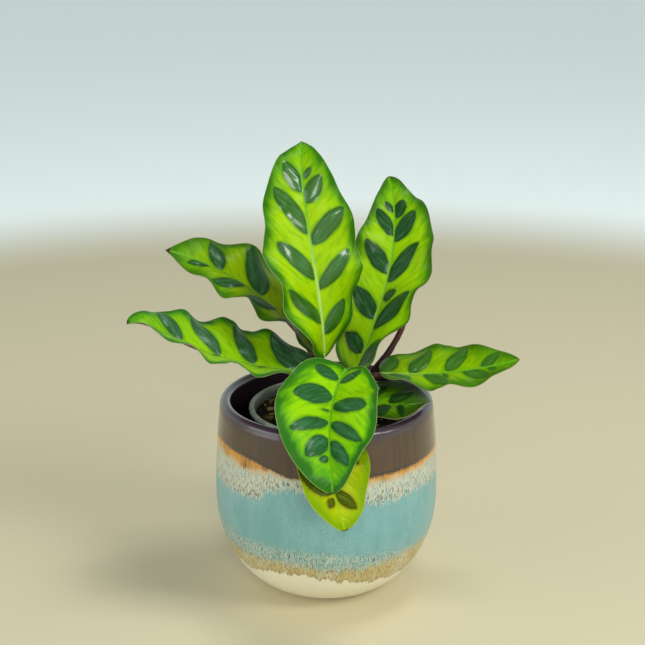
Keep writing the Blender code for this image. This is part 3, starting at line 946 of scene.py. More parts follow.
    def markings(self, t: np.ndarray, columns: np.ndarray) -> dict[str, np.ndarray]:
        """What the finishes read at each share and column, in millimetres.

        Args:
            t: shares of the blade's length.
            columns: places across it.

        Returns:
            rib and edge, the distances from the midrib and the margin; band, the latter divided by how wide
            the half's dark margin is; tip, the distance from where the tip is withered; blotch, the distance
            outside the nearest patch; and lamina, coordinates across and then along the side veins, with
            the leaf's own number.
        """
        length = self.length / MM
        x = np.repeat((t * length)[:, None], len(columns), axis=1)
        widths = [self.half_width(t, side) / MM for side in (0, 1)]
        halves = [0 if column > 0 else 1 for column in columns]
        half = np.stack([widths[side] for side in halves], axis=1)
        y = half * np.abs(columns)
        slope = np.gradient(half, axis=0) / np.maximum(np.gradient(x, axis=0), 1e-6)
        edge = (half - y) / np.sqrt(1 + slope**2)
        blotch = np.full(x.shape, self.NO_BLOTCH)
        for side, patches in enumerate((self.left, self.right)):
            mine = [column for column, half_of in enumerate(halves) if half_of == side]
            for patch in patches:
                wide = float(np.interp(patch.end, t, widths[side]))
                far = patch.distance(x[:, mine], y[:, mine], length, wide)
                blotch[:, mine] = np.minimum(blotch[:, mine], far)
        vein = x - self.VEIN_SLANT * y - self.VEIN_BEND * y**2 / np.maximum(half, 1)
        on_left = np.array(halves) == 0
        across = y * np.where(on_left, 1, -1)
        band = edge / np.where(on_left, *self.band)
        lamina = np.stack([vein, across, np.full(x.shape, self.OWN_PLACE * self.root[0])], axis=-1)
        tip = length - x - self.brown_tip
        return {"rib": y, "edge": edge, "band": band, "tip": tip, "blotch": blotch, "lamina": lamina}

    def relief(self, marks: dict[str, np.ndarray], t: np.ndarray) -> np.ndarray:
        """How far the upper face stands above its plain form.

        Args:
            marks: what markings() gave.
            t: the shares of the blade's length.

        Returns:
            Metres: a groove at the rib, swells between the side veins, and a pillow under each blotch.
        """
        edge, rib = marks["edge"], marks["rib"]
        fade = np.clip(edge / self.EDGE_FADE, 0, 1) * np.clip(rib / self.RIB_FADE, 0, 1)
        groove = self.GROOVE * np.exp(-((rib / self.GROOVE_WIDTH) ** 2)) * (1 - t)[:, None]
        swell = self.SWELL * np.cos(TURN * marks["lamina"][..., 0] / self.VEIN_SPACING)
        inside = np.clip(self.PILLOW_START - marks["blotch"] / self.PILLOW_REACH, 0, 1)
        pillow = self.PILLOW * inside**2 * (3 - 2 * inside)
        return (swell + pillow) * fade - groove

    def blade(self) -> bpy.types.Object:
        """Models the blade: a grid laid on the leaf's form, then thickened, most along the rib."""
        piece = new_grid(f"{self.name}_blade", self.ROWS, self.COLUMNS)
        flat = corners(piece)
        x, row = np.unique(flat[:, 0].round(5), return_inverse=True)
        y, column = np.unique(flat[:, 1].round(5), return_inverse=True)
        t = crowded((x + 1) / 2, self.ROW_CROWDING)
        columns = np.sign(y) * crowded(np.abs(y), self.COLUMN_CROWDING)
        surface = self.surface(t, columns)
        marks = self.markings(t, columns)
        normals = unit(np.cross(np.gradient(surface, axis=0), np.gradient(surface, axis=1)))
        surface += normals * self.relief(marks, t)[..., None]
        move(piece, surface[row, column])
        for name, values in marks.items():
            paint(piece, name, values[row, column])
        rib = np.exp(-((marks["rib"] / self.RIB_WIDTH) ** 2)) * (1 - t)[:, None]
        margin = np.clip(self.MARGIN_SHARE + marks["edge"] / self.THIN_EDGE, 0, 1)
        thickness = self.THICKNESS * margin + rib * (self.THICKEST - self.THICKNESS)
        piece.data.materials.append(None)
        piece.data.materials.append(None)
        group = piece.vertex_groups.new(name="thickness")
        for index, value in enumerate((thickness / self.THICKEST)[row, column]):
            group.add([index], float(value), "REPLACE")
        apply(
            piece, "SOLIDIFY", thickness=self.THICKEST, offset=-1.0, vertex_group="thickness",
            use_rim=True, material_offset=1, material_offset_rim=0,
        )
        smooth(piece, degrees=60)
        return piece

    def stem_path(self, count: int) -> tuple[np.ndarray, np.ndarray]:
        """Points of the petiole's middle, upright at the soil, and the direction at each."""
        start = np.array([*self.root, self.SOIL_TOP])
        out = heading(np.array(self.azimuth[0]), np.array(self.pitch[0]))
        _, up = turned_about(out, left_of(np.array(self.azimuth[0])), np.array(self.roll[0]))
        end = np.array(self.base) - up * self.NECK_RADIUS
        reach = np.linalg.norm(end - start)
        s = np.linspace(0.0, 1.0, count)[:, None]
        first, last = np.array([0, 0, reach]), out * self.STEM_REACH * reach
        points = (
            (2 * s**3 - 3 * s**2 + 1) * start + (s**3 - 2 * s**2 + s) * first
            + (3 * s**2 - 2 * s**3) * end + (s**3 - s**2) * last
        )
        directions = (
            (6 * s**2 - 6 * s) * (start - end) + (3 * s**2 - 4 * s + 1) * first + (3 * s**2 - 2 * s) * last
        )
        return points, unit(directions)

    def stem_frame(self, along: np.ndarray) -> tuple[np.ndarray, np.ndarray]:
        """The vectors to the left of and up from each direction along the petiole."""
        left = np.tile(left_of(np.array(self.azimuth[0])), (len(along), 1))
        return turned_about(along, left, np.zeros(len(along)))

    def petiole(self) -> bpy.types.Object:
        """Models the petiole, from under the soil to where it thins out below the midrib."""
        points, along = self.stem_path(self.STEM_RINGS)
        points = np.vstack([points[0] - [0, 0, self.STEM_DEPTH], points])
        along = np.vstack([along[0], along])
        t = np.linspace(0.0, self.RIB_REACH, self.RIB_RINGS + 1)
        rib, left, up = self.midrib(t)
        thin = between(self.NECK_RADIUS, self.RIB_END, (t / t[-1]) ** self.RIB_TAPER)
        rib = rib - up * (thin + self.RIB_CLEARANCE)[:, None]
        points = np.vstack([points[:-1], rib])
        along = np.vstack([along[:-1], np.cross(left, up)])
        s = np.concatenate([[0.0], np.linspace(0, 1, self.STEM_RINGS)[:-1]])
        radius = between(self.STEM_RADIUS, self.NECK_RADIUS, s)
        knee = np.exp(-(((1 - s) * self.KNEE_SHORTNESS) ** 2))
        radius = np.concatenate([radius * (1 + self.KNEE_SWELL * knee), thin])
        knee = np.concatenate([knee, np.linspace(1.0, self.KNEE_END, self.RIB_RINGS + 1)])
        last = len(points) - 1
        piece = new_rod(f"{self.name}_petiole", self.STEM_SIDES, last - 1)
        rod = corners(piece)
        place = np.rint((rod[:, 2] + 1) / 2 * last).astype(int)
        left, up = self.stem_frame(along)
        offset = left[place] * rod[:, :1] + up[place] * rod[:, 1:2]
        move(piece, points[place] + offset * radius[place][:, None])
        paint(piece, "knee", knee[place])
        smooth(piece)
        return piece

    def sheath(self) -> bpy.types.Object:
        """Models the sheath: a thin open channel that wraps the petiole's foot and thins out upwards."""
        piece = new_grid(f"{self.name}_sheath", self.SHEATH_ROWS, self.SHEATH_COLUMNS)
        flat = corners(piece)
        points, along = self.stem_path(self.PATH_STEPS)
        place = np.rint((flat[:, 0] + 1) / 2 * self.SHEATH_STEPS).astype(int)
        share = place / self.SHEATH_STEPS
        left, up = self.stem_frame(along)
        radius = self.STEM_RADIUS + between(*self.SHEATH_GAP, share) * MM
        wrap = np.radians(between(*self.SHEATH_WRAP, share**self.SHEATH_NARROWING))
        angle = flat[:, 1] * wrap + math.pi
        offset = left[place] * np.sin(angle)[:, None] + up[place] * np.cos(angle)[:, None]
        lower = np.where(place == 0, self.STEM_DEPTH / 2, 0.0)
        spot = points[place] + offset * radius[:, None]
        spot[:, 2] -= lower
        move(piece, spot)
        paint(piece, "knee", self.SHEATH_REDNESS * np.abs(flat[:, 1]) ** 4)
        apply(piece, "SOLIDIFY", thickness=self.SHEATH_THICKNESS, offset=0.0, use_rim=True)
        smooth(piece)
        return piece

    def build(self, look: LeafLook) -> None:
        """Builds and dresses the leaf's three pieces."""
        slot = Slot.YELLOW if self.skin is Skin.YELLOW else Slot.GREEN
        set_down(self.blade(), self.name, slot, look.upper[self.skin], look.lower)
        set_down(self.petiole(), self.name, slot, look.stem)
        set_down(self.sheath(), self.name, slot, look.stem)


LEAVES = (
    Leaf(
        name="leaf_centre", root=(-0.002, 0.005), base=(-0.001, 0.0055, 0.122),
        azimuth=(159, 86), pitch=(88, 58), roll=(0, -8),
        length=0.1185, width=(0.0285, 0.026),
        keel=(17, 21), droop=17, wave=(0.0047, 0.0026), waves=4.1, phase=(-0.29, 0.73),
        base_round=0.52, widest=0.41, tip=1.03, curl=46,
        left=(
            Blotch(0.165, 0.35, 0.86, 7.8), Blotch(0.36, 0.54, 0.72, 10.0),
            Blotch(0.56, 0.77, 0.80, 9.8), Blotch(0.74, 0.875, 0.70, 8.4),
        ),
        right=(
            Blotch(0.11, 0.24, 0.70, 9.0), Blotch(0.31, 0.465, 0.80, 8.6), Blotch(0.51, 0.655, 0.88, 10.4),
            Blotch(0.69, 0.81, 0.66, 8.8), Blotch(0.80, 0.845, 0.36, 3.6),
        ),
    ),
    Leaf(
        name="leaf_right_tall", root=(0.009, 0.004), base=(0.015, 0.0075, 0.112),
        azimuth=(31, 107), pitch=(65, 43), roll=(-13, 5),
        length=0.116, width=(0.0245, 0.03),
        keel=(20, 23), droop=4, wave=(0.0027, 0.0041), waves=4.8, phase=(1.08, -0.56),
        base_round=0.33, widest=0.34, tip=1.11, skin=Skin.DEEP,
        left=(
            Blotch(0.11, 0.17, 0.70, 10.0), Blotch(0.27, 0.40, 0.70, 11.0), Blotch(0.49, 0.64, 0.76, 9.4),
            Blotch(0.68, 0.81, 0.74, 8.0), Blotch(0.80, 0.85, 0.46, 4.6),
        ),
        right=(
            Blotch(0.05, 0.17, 0.94, 12.0), Blotch(0.23, 0.39, 0.80, 12.0), Blotch(0.37, 0.40, 0.37, 6.0),
            Blotch(0.45, 0.63, 0.64, 10.6), Blotch(0.65, 0.79, 0.63, 9.6), Blotch(0.77, 0.86, 0.42, 6.8),
        ),
    ),
    Leaf(
        name="leaf_left_upper", root=(-0.008, 0.009), base=(-0.006, 0.008, 0.123),
        azimuth=(150, 182), pitch=(50, 15), roll=(11, -59),
        length=0.098, width=(0.019, 0.0255),
        keel=(34, 12), droop=27, wave=(0.0045, 0.0044), waves=3.7, phase=(0.52, -0.01),
        base_round=0.68, widest=0.43, tip=0.99, brown_tip=2.2, skin=Skin.MUTED,
        left=(
            Blotch(0.12, 0.26, 0.85, 8.0), Blotch(0.32, 0.47, 0.92, 8.0), Blotch(0.53, 0.70, 0.90, 7.6),
            Blotch(0.75, 0.87, 0.50, 6.0),
        ),
        right=(
            Blotch(0.18, 0.36, 0.86, 10.0), Blotch(0.43, 0.62, 0.93, 13.0), Blotch(0.68, 0.80, 0.90, 8.8),
        ),
    ),
    Leaf(
        name="leaf_left_lower", root=(-0.01, -0.003), base=(-0.005, -0.001, 0.117),
        azimuth=(183, 189), pitch=(1, 40), roll=(-12, 0),
        length=0.1025, width=(0.0255, 0.026),
        keel=(35, 35), droop=25, wave=(0.0024, 0.0026), waves=4.0, phase=(-0.52, 0.24),
        base_round=0.50, widest=0.47, tip=1.11, curl=56, flatten=(0.27, 0.0), brown_tip=0.9,
        band=(0.8, 1.0), skin=Skin.SLEEK,
        left=(Blotch(0.25, 0.31, 0.50, 3.4), Blotch(0.49, 0.55, 0.46, 3.0), Blotch(0.72, 0.77, 0.46, 2.6)),
        right=(
            Blotch(0.02, 0.11, 0.92, 11.0), Blotch(0.10, 0.24, 0.95, 13.0), Blotch(0.32, 0.45, 0.90, 9.4),
            Blotch(0.50, 0.70, 0.96, 8.8), Blotch(0.71, 0.87, 0.92, 7.8),
        ),
    ),
    Leaf(
        name="leaf_right", root=(0.014, -0.002), base=(0.0275, -0.002, 0.1165),
        azimuth=(2, -20), pitch=(-5, 23), roll=(2, 53),
        length=0.0735, width=(0.02, 0.016),
        keel=(13, 22), droop=16, wave=(0.0018, 0.0026), waves=3.0, phase=(0.07, 0.71),
        base_round=0.30, widest=0.30, tip=1.07, skin=Skin.SOFT,
        left=(
            Blotch(0.03, 0.11, 0.92, 10.0), Blotch(0.22, 0.36, 0.80, 9.6), Blotch(0.47, 0.63, 0.90, 9.2),
            Blotch(0.72, 0.87, 0.90, 5.6),
        ),
        right=(
            Blotch(0.08, 0.22, 0.85, 7.0), Blotch(0.32, 0.49, 0.92, 8.6), Blotch(0.59, 0.78, 0.78, 6.4),
            Blotch(0.45, 0.49, 0.45, 2.6), Blotch(0.77, 0.84, 0.45, 2.6),
        ),
    ),
    Leaf(
        name="leaf_front", root=(0.003, -0.009), base=(0.0105, -0.0165, 0.124),
        azimuth=(-110, -80), pitch=(-6, -44), roll=(-3, 25),
        length=0.0835, width=(0.027, 0.028),
        keel=(29, 45), droop=16, wave=(0.0042, 0.0018), waves=2.3, phase=(0.15, 0.0),
        base_round=0.70, widest=0.49, tip=1.01, curl=33, flatten=(0.26, 0.08),
        band=(0.9, 1.5), skin=Skin.EDGED,
        left=(
            Blotch(0.19, 0.11, 0.80, 8.6), Blotch(0.40, 0.53, 0.78, 9.6), Blotch(0.55, 0.74, 0.80, 6.6),
            Blotch(0.68, 0.88, 0.72, 7.0),
        ),
        right=(
            Blotch(0.15, 0.19, 0.72, 8.8), Blotch(0.33, 0.42, 0.76, 13.0), Blotch(0.45, 0.47, 0.21, 2.0),
            Blotch(0.54, 0.65, 0.80, 6.6), Blotch(0.66, 0.79, 0.62, 9.4), Blotch(0.79, 0.81, 0.30, 3.8),
        ),
    ),
    Leaf(
        name="leaf_front_low", root=(0.008, -0.015), base=(0.0075, -0.035, 0.11),
        azimuth=(-118, -53), pitch=(-1, -61), roll=(4, -11),
        length=0.077, width=(0.0195, 0.0155),
        keel=(17, 7), droop=14, wave=(0.0024, 0.0017), waves=2.6, phase=(-0.27, -0.34),
        base_round=0.77, widest=0.56, tip=0.92, skin=Skin.YELLOW,
        left=(Blotch(0.20, 0.34, 0.78, 7.0), Blotch(0.46, 0.60, 0.74, 7.0), Blotch(0.75, 0.89, 0.72, 6.2)),
        # The second patch on the right half, Blotch(0.76, 0.60, 0.96, 10.0), runs back from the tip: painted
        # shadow of the front leaf, laid along its edge
        right=(Blotch(0.28, 0.40, 0.74, 6.6), Blotch(0.76, 0.60, 0.96, 10.0), Blotch(0.79, 0.85, 0.42, 4.0)),
    ),
    Leaf(
        name="leaf_in_pot", root=(0.014, -0.01), base=(0.0115, -0.0125, 0.1075),
        azimuth=(-26, -23), pitch=(-8, 20), roll=(26, -9),
        length=0.045, width=(0.025, 0.019),
        keel=(8, 8), droop=20, wave=(0.0014, 0.0037), waves=1.3, phase=(0.46, 0.66),
        # band darkens the whole left half, the one away from the viewer: painted shade from the leaf above
        # it
        base_round=0.76, widest=0.49, tip=1.04, band=(3.0, 1.0), skin=Skin.SHADED,
        left=(Blotch(0.20, 0.32, 0.75, 8.0), Blotch(0.50, 0.67, 0.66, 8.4)),
        right=(Blotch(0.16, 0.26, 0.80, 6.0), Blotch(0.45, 0.54, 0.96, 8.6), Blotch(0.64, 0.76, 0.93, 3.4)),
    ),
    Leaf(
        name="leaf_back", root=(0.019, 0.012), base=(0.04, 0.027, 0.1355),
        azimuth=(68, 119), pitch=(58, 25), roll=(-52, -8),
        length=0.078, width=(0.016, 0.015),
        keel=(15, 19), droop=20, wave=(0.002, 0.002), waves=4.0, phase=(0.10, 0.66),
        base_round=0.52, widest=0.48, tip=0.98,
        left=(Blotch(0.13, 0.28, 0.75, 6.0), Blotch(0.36, 0.52, 0.80, 7.0), Blotch(0.60, 0.75, 0.75, 6.0)),
        right=(Blotch(0.24, 0.38, 0.80, 6.4), Blotch(0.48, 0.63, 0.80, 6.6), Blotch(0.71, 0.85, 0.70, 5.0)),
    ),
)


@dataclass(frozen=True)
class Tide:
    """The lower edge of a glaze band, which rises and falls round the pot.

    Args:
        knots: angles in degrees, 0 at the front and 90 at the right, with the edge's height in millimetres.
    """

    knots: tuple[Pair, ...]

    def at(self, angle: np.ndarray) -> np.ndarray:
        """The edge's height at the angles, in millimetres."""
        angles, heights = zip(*self.knots)
        return np.interp(np.degrees(angle), angles, heights, period=360)


BANDS = {
    "brown": Tide((
        (-130, 85.5), (-70, 87), (-50, 86.5), (-38, 85.6), (-28, 83.6), (-20, 81), (0, 80.5), (60, 81),
        (100, 82), (150, 82.5), (180, 84),
    )),
    "rust": Tide((
        (-130, 80), (-70, 81), (-50, 79.5), (-38, 79.6), (-28, 81), (-20, 80), (-8, 79), (10, 76.8),
        (60, 76.6), (100, 77), (150, 78), (180, 79),
    )),
    "cream": Tide((
        (-120, 65.5), (-65, 64.5), (-50, 64.5), (-36, 65.5), (-30, 72.5), (-20, 74), (-8, 73), (10, 68),
        (20, 66), (60, 66), (100, 64), (150, 67), (180, 66),
    )),
    "teal": Tide((
        (-120, 43), (-50, 42.5), (0, 42), (10, 40), (30, 38), (45, 36), (80, 36), (120, 39), (180, 42),
    )),
    "tan": Tide((
        (-120, 31), (-60, 31.5), (-40, 32), (-20, 32), (-10, 31), (0, 30), (20, 29.5), (40, 33), (80, 31),
        (130, 30), (180, 31),
    )),
    "base": Tide((
        (-100, 22), (-50, 22), (-40, 23.5), (-25, 25), (-12, 25.5), (0, 24), (10, 22), (25, 20), (40, 19),
        (50, 17.5), (90, 19), (140, 22), (180, 23),
    )),
}


@dataclass
class GlazedPot:
    """The outer pot: a round belly on a small flat foot, a full round lip, and poured glazes.

    Sizes are in metres, apart from the last five, in millimetres. Each count of points is for one stretch
    of the section, with both its ends. A vertex is on the inside when it lies deeper than inside_share of
    the wall. Glaze_depth is half of how far the brown glaze stands out, glaze_softness how gently its edge
    rises, and bead how far above that edge its thick bead lies and how wide it is. The lip's finish sets in
    lip_reach below the lip's middle, and is full lip_fade higher.
    """

    height: float = 0.1035
    belly_radius: float = 0.0585
    belly_z: float = 0.051
    core_radius: float = 0.018
    belly_drop: float = 0.0522
    upper_arc: float = 0.405
    wall: float = 0.0059
    floor: float = 0.008
    floor_radius: float = 0.031
    fillet_z: float = 0.016
    foot_ring: float = 4.0 * MM
    recess: float = 0.5 * MM
    foot_fade: float = 4 * MM
    segments: int = 224
    lower_points: int = 44
    upper_points: int = 46
    lip_points: int = 19
    inner_points: int = 24
    fillet_points: int = 8
    inside_share: float = 0.6
    glaze_depth: float = 0.10
    glaze_softness: float = 0.8
    bead: Pair = (1.2, 1.3)
    lip_reach: float = 4
    lip_fade: float = 5

    def radius(self, height: float) -> float:
        """The outer radius: a quarter ellipse up to the belly, and a flat arc above it."""
        if height < self.belly_z:
            drop = (self.belly_z - height) / self.belly_drop
            return self.core_radius + (self.belly_radius - self.core_radius) * math.sqrt(1 - drop**2)
        return self.belly_radius - (height - self.belly_z) ** 2 / (2 * self.upper_arc)

    def profile(self) -> list[Pair]:
        """The section: from the recess under the foot up the outside, over the lip and down to the floor."""
        lip = self.wall / 2
        lip_z = self.height - lip
        foot = self.radius(0.0)
        ring = foot - self.foot_ring
        profile = [(ring - self.recess, self.recess), (ring, 0.0), (foot, 0.0)]
        turns = np.linspace(math.acos(self.belly_z / self.belly_drop), math.pi / 2, self.lower_points)[1:]
        outer = [self.belly_z - self.belly_drop * math.cos(turn) for turn in turns]
        outer += list(np.linspace(self.belly_z, lip_z, self.upper_points)[1:])
        profile += [(self.radius(height), height) for height in outer]
        middle = self.radius(lip_z) - lip
        for turn in np.linspace(0.0, math.pi, self.lip_points)[1:-1]:
            profile.append((middle + lip * math.cos(turn), lip_z + lip * math.sin(turn)))
        for height in np.linspace(lip_z, self.fillet_z, self.inner_points):
            profile.append((self.radius(height) - self.wall, height))
        edge = self.radius(self.fillet_z) - self.wall
        for turn in np.linspace(0.0, math.pi / 2, self.fillet_points)[1:]:
            profile.append((
                self.floor_radius + (edge - self.floor_radius) * math.cos(turn),
                self.fillet_z - (self.fillet_z - self.floor) * math.sin(turn),
            ))
        return profile

    def build(self) -> None:
        """Builds the pot, lays the glazes on it as relief and as heights, and dresses it."""
        piece = turned("glazed_pot_body", self.profile(), self.segments)
        points = corners(piece)
        angle = np.arctan2(points[:, 0], -points[:, 1])
        radius = np.hypot(points[:, 0], points[:, 1])
        z = points[:, 2] / MM
        top = (self.height - self.wall / 2) / MM
        outer = np.array([self.radius(min(height, self.height)) for height in points[:, 2]])
        inside = radius < outer - self.wall * self.inside_share
        lifted = np.where(inside & (z > self.floor / MM - 1), 2 * top - z, z)
        over = {name: lifted - band.at(angle) for name, band in BANDS.items()}
        bead_z, bead_width = self.bead
        step = self.glaze_depth * (1 + np.tanh(over["brown"] / self.glaze_softness))
        bead = self.glaze_depth * np.exp(-(((over["brown"] - bead_z) / bead_width) ** 2))
        outside = np.clip((radius - self.radius(0.0)) / self.foot_fade, 0, 1) * ~inside * (z < top)
        spread = 1 + (step + bead) * outside * MM / np.maximum(radius, MM)
        points[:, :2] *= spread[:, None]
        move(piece, points)
        for name, values in over.items():
            paint(piece, f"over_{name}", values)
        belly = self.belly_radius / MM
        paint(piece, "wrap", np.stack([belly * np.sin(angle), -belly * np.cos(angle), lifted], axis=1))
        paint(piece, "lip", np.clip((lifted - top + self.lip_reach) / self.lip_fade, 0, 1))
        smooth(piece)
        set_down(piece, "glazed_pot", Slot.GLAZE, Glaze().material())


@dataclass
class NurseryPot:
    """The thin plastic pot inside: tapered wall, rolled rim, a shallow ring in the wall and drain holes.

    Each count of points is for one stretch of the section, with both its ends.
    """

    centre: Pair = NURSERY_CENTRE
    rim_radius: float = 0.044
    rim_z: float = 0.098
    rim_depth: float = 0.0026
    neck_radius: float = 0.0422
    base_radius: float = 0.0275
    foot: float = 0.0083
    wall: float = 0.0011
    segments: int = 128
    drain_radius: float = 0.0035
    drain_circle: float = 0.018
    drain_count: int = 6
    drain_sides: int = 28
    ring_z: float = 0.095
    ring_width: float = 0.5 * MM
    ring_depth: float = 0.25 * MM
    rim_wall: float = 0.7 * MM
    chamfer: float = 0.4 * MM
    wall_start: float = 2 * MM
    floor_inset: float = 2.5 * MM
    wall_points: int = 14
    rim_points: int = 11
    inner_points: int = 8

    def radius(self, height: float) -> float:
        """The outer radius below the rim, a plain taper."""
        share = (height - self.foot) / (self.rim_z - self.rim_depth - self.foot)
        return self.base_radius + (self.neck_radius - self.base_radius) * share

    def profile(self) -> list[Pair]:
        """The section: base, tapered wall, rolled rim, and the inside with its ring back to the middle."""
        under = self.rim_z - self.rim_depth
        bead = self.rim_depth / 2
        profile = [(self.drain_radius, self.foot), (self.base_radius - MM, self.foot)]
        profile.append((self.base_radius, self.foot + self.chamfer))
        heights = np.linspace(self.foot + self.wall_start, under, self.wall_points)
        profile += [(self.radius(height), height) for height in heights]
        middle = self.rim_radius - bead
        for turn in np.linspace(-math.pi / 2, math.pi / 2, self.rim_points):
            profile.append((middle + bead * math.cos(turn), under + bead + bead * math.sin(turn)))
        inner = [self.rim_z, self.rim_z - self.ring_width]
        inner += [self.ring_z + self.ring_width, self.ring_z, self.ring_z - self.ring_width]
        inner += list(np.linspace(self.ring_z - 2 * MM, self.foot + self.wall + MM, self.inner_points))
        for height in inner:
            bulge = self.ring_depth if height == self.ring_z else 0.0
            wall = self.wall if height < self.rim_z else self.rim_wall
            profile.append((self.radius(min(height, under)) - wall - bulge, height))
        profile.append((self.base_radius - self.floor_inset, self.foot + self.wall))
        return profile

    def build(self) -> None:
        """Builds the pot, drills its drain holes and dresses it."""
        piece = turned("nursery_pot_shell", self.profile(), self.segments)
        deselect()
        drills = []
        for index in range(self.drain_count):
            turn = TURN * index / self.drain_count
            spot = (self.drain_circle * math.cos(turn), self.drain_circle * math.sin(turn), self.foot)
            bpy.ops.mesh.primitive_cylinder_add(
                vertices=self.drain_sides, radius=self.drain_radius, depth=6 * self.wall, location=spot,
            )
            drills.append(bpy.context.active_object)
        for drill in drills:
            drill.select_set(True)
        bpy.ops.object.join()
        drill = bpy.context.active_object
        apply(piece, "BOOLEAN", operation="DIFFERENCE", solver="EXACT", object=drill)
        bpy.data.objects.remove(drill)
        stand(piece, self.centre)
        smooth(piece, degrees=35)
        set_down(piece, "nursery_pot", Slot.NURSERY, NurseryPlastic().material())


@dataclass
class Soil:
    """Potting soil: a body with an uneven top, crumbs scattered over it, and chips of bark.

    Each ripple of the top is its two rates, in radians a metre, and its phase. Ripple_fade and clod_fade
    are how steeply the ripples and the clods set in from the rim. Clod_noise is how fast clods get lower as
    they get finer, the ratio between their sizes, and how many sizes they have. A scattered grain is broad
    times as wide as it is long, uneven by the share in roughness and tilted by about tilt radians, and its
    middle stands raised times its height above the top. Round_heights and flat_heights are the grains' and
    the chips' least and greatest height, as shares of their length.
    """

    centre: Pair = NURSERY_CENTRE
    top: float = 0.093
    foot: float = 0.0097
    rim: float = 0.0402
    foot_radius: float = 0.0262
    relief: float = 0.0012
    ripples: tuple[Point, ...] = ((210, 90, 0.4), (-120, 260, 1.9), (330, -310, 4.1), (480, 150, 2.6))
    segments: int = 144
    rings: int = 36
    crumbs: int = 1700
    lumps: int = 560
    chips: int = 460
    seed: int = 11
    clod_height: float = 0.9 * MM
    clod_scale: float = 260
    clod_noise: tuple[float, float, int] = (0.6, 2.0, 4)
    clod_fade: float = 6
    ripple_fade: float = 3
    body_tone: float = 0.2
    chip_bevel: float = 0.12
    round_heights: Pair = (0.5, 0.85)
    flat_heights: Pair = (0.2, 0.45)
    size_skew: float = 2.5
    broad: Pair = (0.55, 0.9)
    roughness: float = 0.18
    rough_limits: Pair = (0.7, 1.35)
    tilt: float = 0.35
    raised: float = 0.15
    rim_gap: float = 0.3 * MM

    def lift(self, x: np.ndarray, y: np.ndarray) -> np.ndarray:
        """How far the top stands above its mean level, from a few crossed ripples that fade at the rim."""
        ripple = sum(np.sin(a * x + b * y + c) for a, b, c in self.ripples) / 2
        return self.relief * ripple * np.clip(self.ripple_fade * (1 - np.hypot(x, y) / self.rim), 0, 1)

    def body(self) -> bpy.types.Object:
        """Models the soil's body, a tapered plug with many rings on its top."""
        profile = [(self.foot_radius, self.foot), (self.rim, self.top)]
        profile += [(self.rim * (1 - ring / self.rings), self.top) for ring in range(1, self.rings)]
        piece = turned("soil_body", profile, self.segments)
        points = corners(piece)
        up = points[:, 2] > self.top - MM
        points[up, 2] += self.lift(points[up, 0], points[up, 1])
        for index in np.flatnonzero(up):
            at = Vector(points[index]) * self.clod_scale
            away = math.hypot(points[index, 0], points[index, 1])
            inner = min(1.0, self.clod_fade * (1 - away / self.rim))
            points[index, 2] += self.clod_height * inner * noise.fractal(at, *self.clod_noise)
        move(piece, points)
        stand(piece, self.centre)
        paint(piece, "tone", np.full(len(points), self.body_tone))
        smooth(piece)
        return piece

    def scattered(
        self, name: str, grain: bpy.types.Object, count: int, sizes: Pair, flat: Pair,
        draw: np.random.Generator,
    ) -> bpy.types.Object:
        """Scatters copies of a grain over the soil's top as one piece.

        Args:
            name: the piece's name.
            grain: the grain to copy, about 1 across, which is removed.
            count: how many copies.
            sizes: the smallest and largest, in metres.
            flat: the least and greatest height as a share of a copy's length.
            draw: the source of the random numbers.

        Returns:
            The piece, with a tone for each copy.
        """
        shape = corners(grain)
        faces = [tuple(face.vertices) for face in grain.data.polygons]
        bpy.data.objects.remove(grain)
        points, polygons, tones = [], [], []
        for index in range(count):
            size = sizes[0] + (sizes[1] - sizes[0]) * draw.random() ** self.size_skew
            wide, tall = draw.uniform(*self.broad), draw.uniform(*flat)
            rough = 1 + self.roughness * draw.standard_normal((len(shape), 1))
            copy = shape * rough.clip(*self.rough_limits) * (size, size * wide, size * tall)
            tilt, spin = draw.normal(0, self.tilt), draw.uniform(0, TURN)
            cos, sin = math.cos(tilt), math.sin(tilt)
            copy = copy @ np.array([[cos, 0, sin], [0, 1, 0], [-sin, 0, cos]])
            cos, sin = math.cos(spin), math.sin(spin)
            copy = copy @ np.array([[cos, sin, 0], [-sin, cos, 0], [0, 0, 1]])
            away = (self.rim - size / 2 - self.rim_gap) * math.sqrt(draw.random())
            turn = draw.uniform(0, TURN)
            x, y = away * math.cos(turn), away * math.sin(turn)
            z = self.top + float(self.lift(np.array(x), np.array(y))) + size * tall * self.raised
            polygons += [tuple(corner + len(shape) * index for corner in face) for face in faces]
            points.append(copy + (x, y, z))
            tones.append(np.full(len(shape), draw.random()))
        mesh = bpy.data.meshes.new(name)
        mesh.from_pydata(np.vstack(points).tolist(), [], polygons)
        piece = bpy.data.objects.new(name, mesh)
        bpy.context.scene.collection.objects.link(piece)
        stand(piece, self.centre)
        paint(piece, "tone", np.concatenate(tones))
        return piece

    def chip(self) -> bpy.types.Object:
        """Models one chip of bark: a bevelled, split block about 1 across."""
        deselect()
        bpy.ops.mesh.primitive_cube_add(size=1)
        piece = named("bark_chip")
        bpy.ops.object.mode_set(mode="EDIT")
        bpy.ops.mesh.select_all(action="SELECT")
        bpy.ops.mesh.bevel(offset=self.chip_bevel, segments=1, affect="EDGES")
        bpy.ops.mesh.select_all(action="SELECT")
        bpy.ops.mesh.subdivide(number_cuts=1)
        bpy.ops.object.mode_set(mode="OBJECT")
        return piece

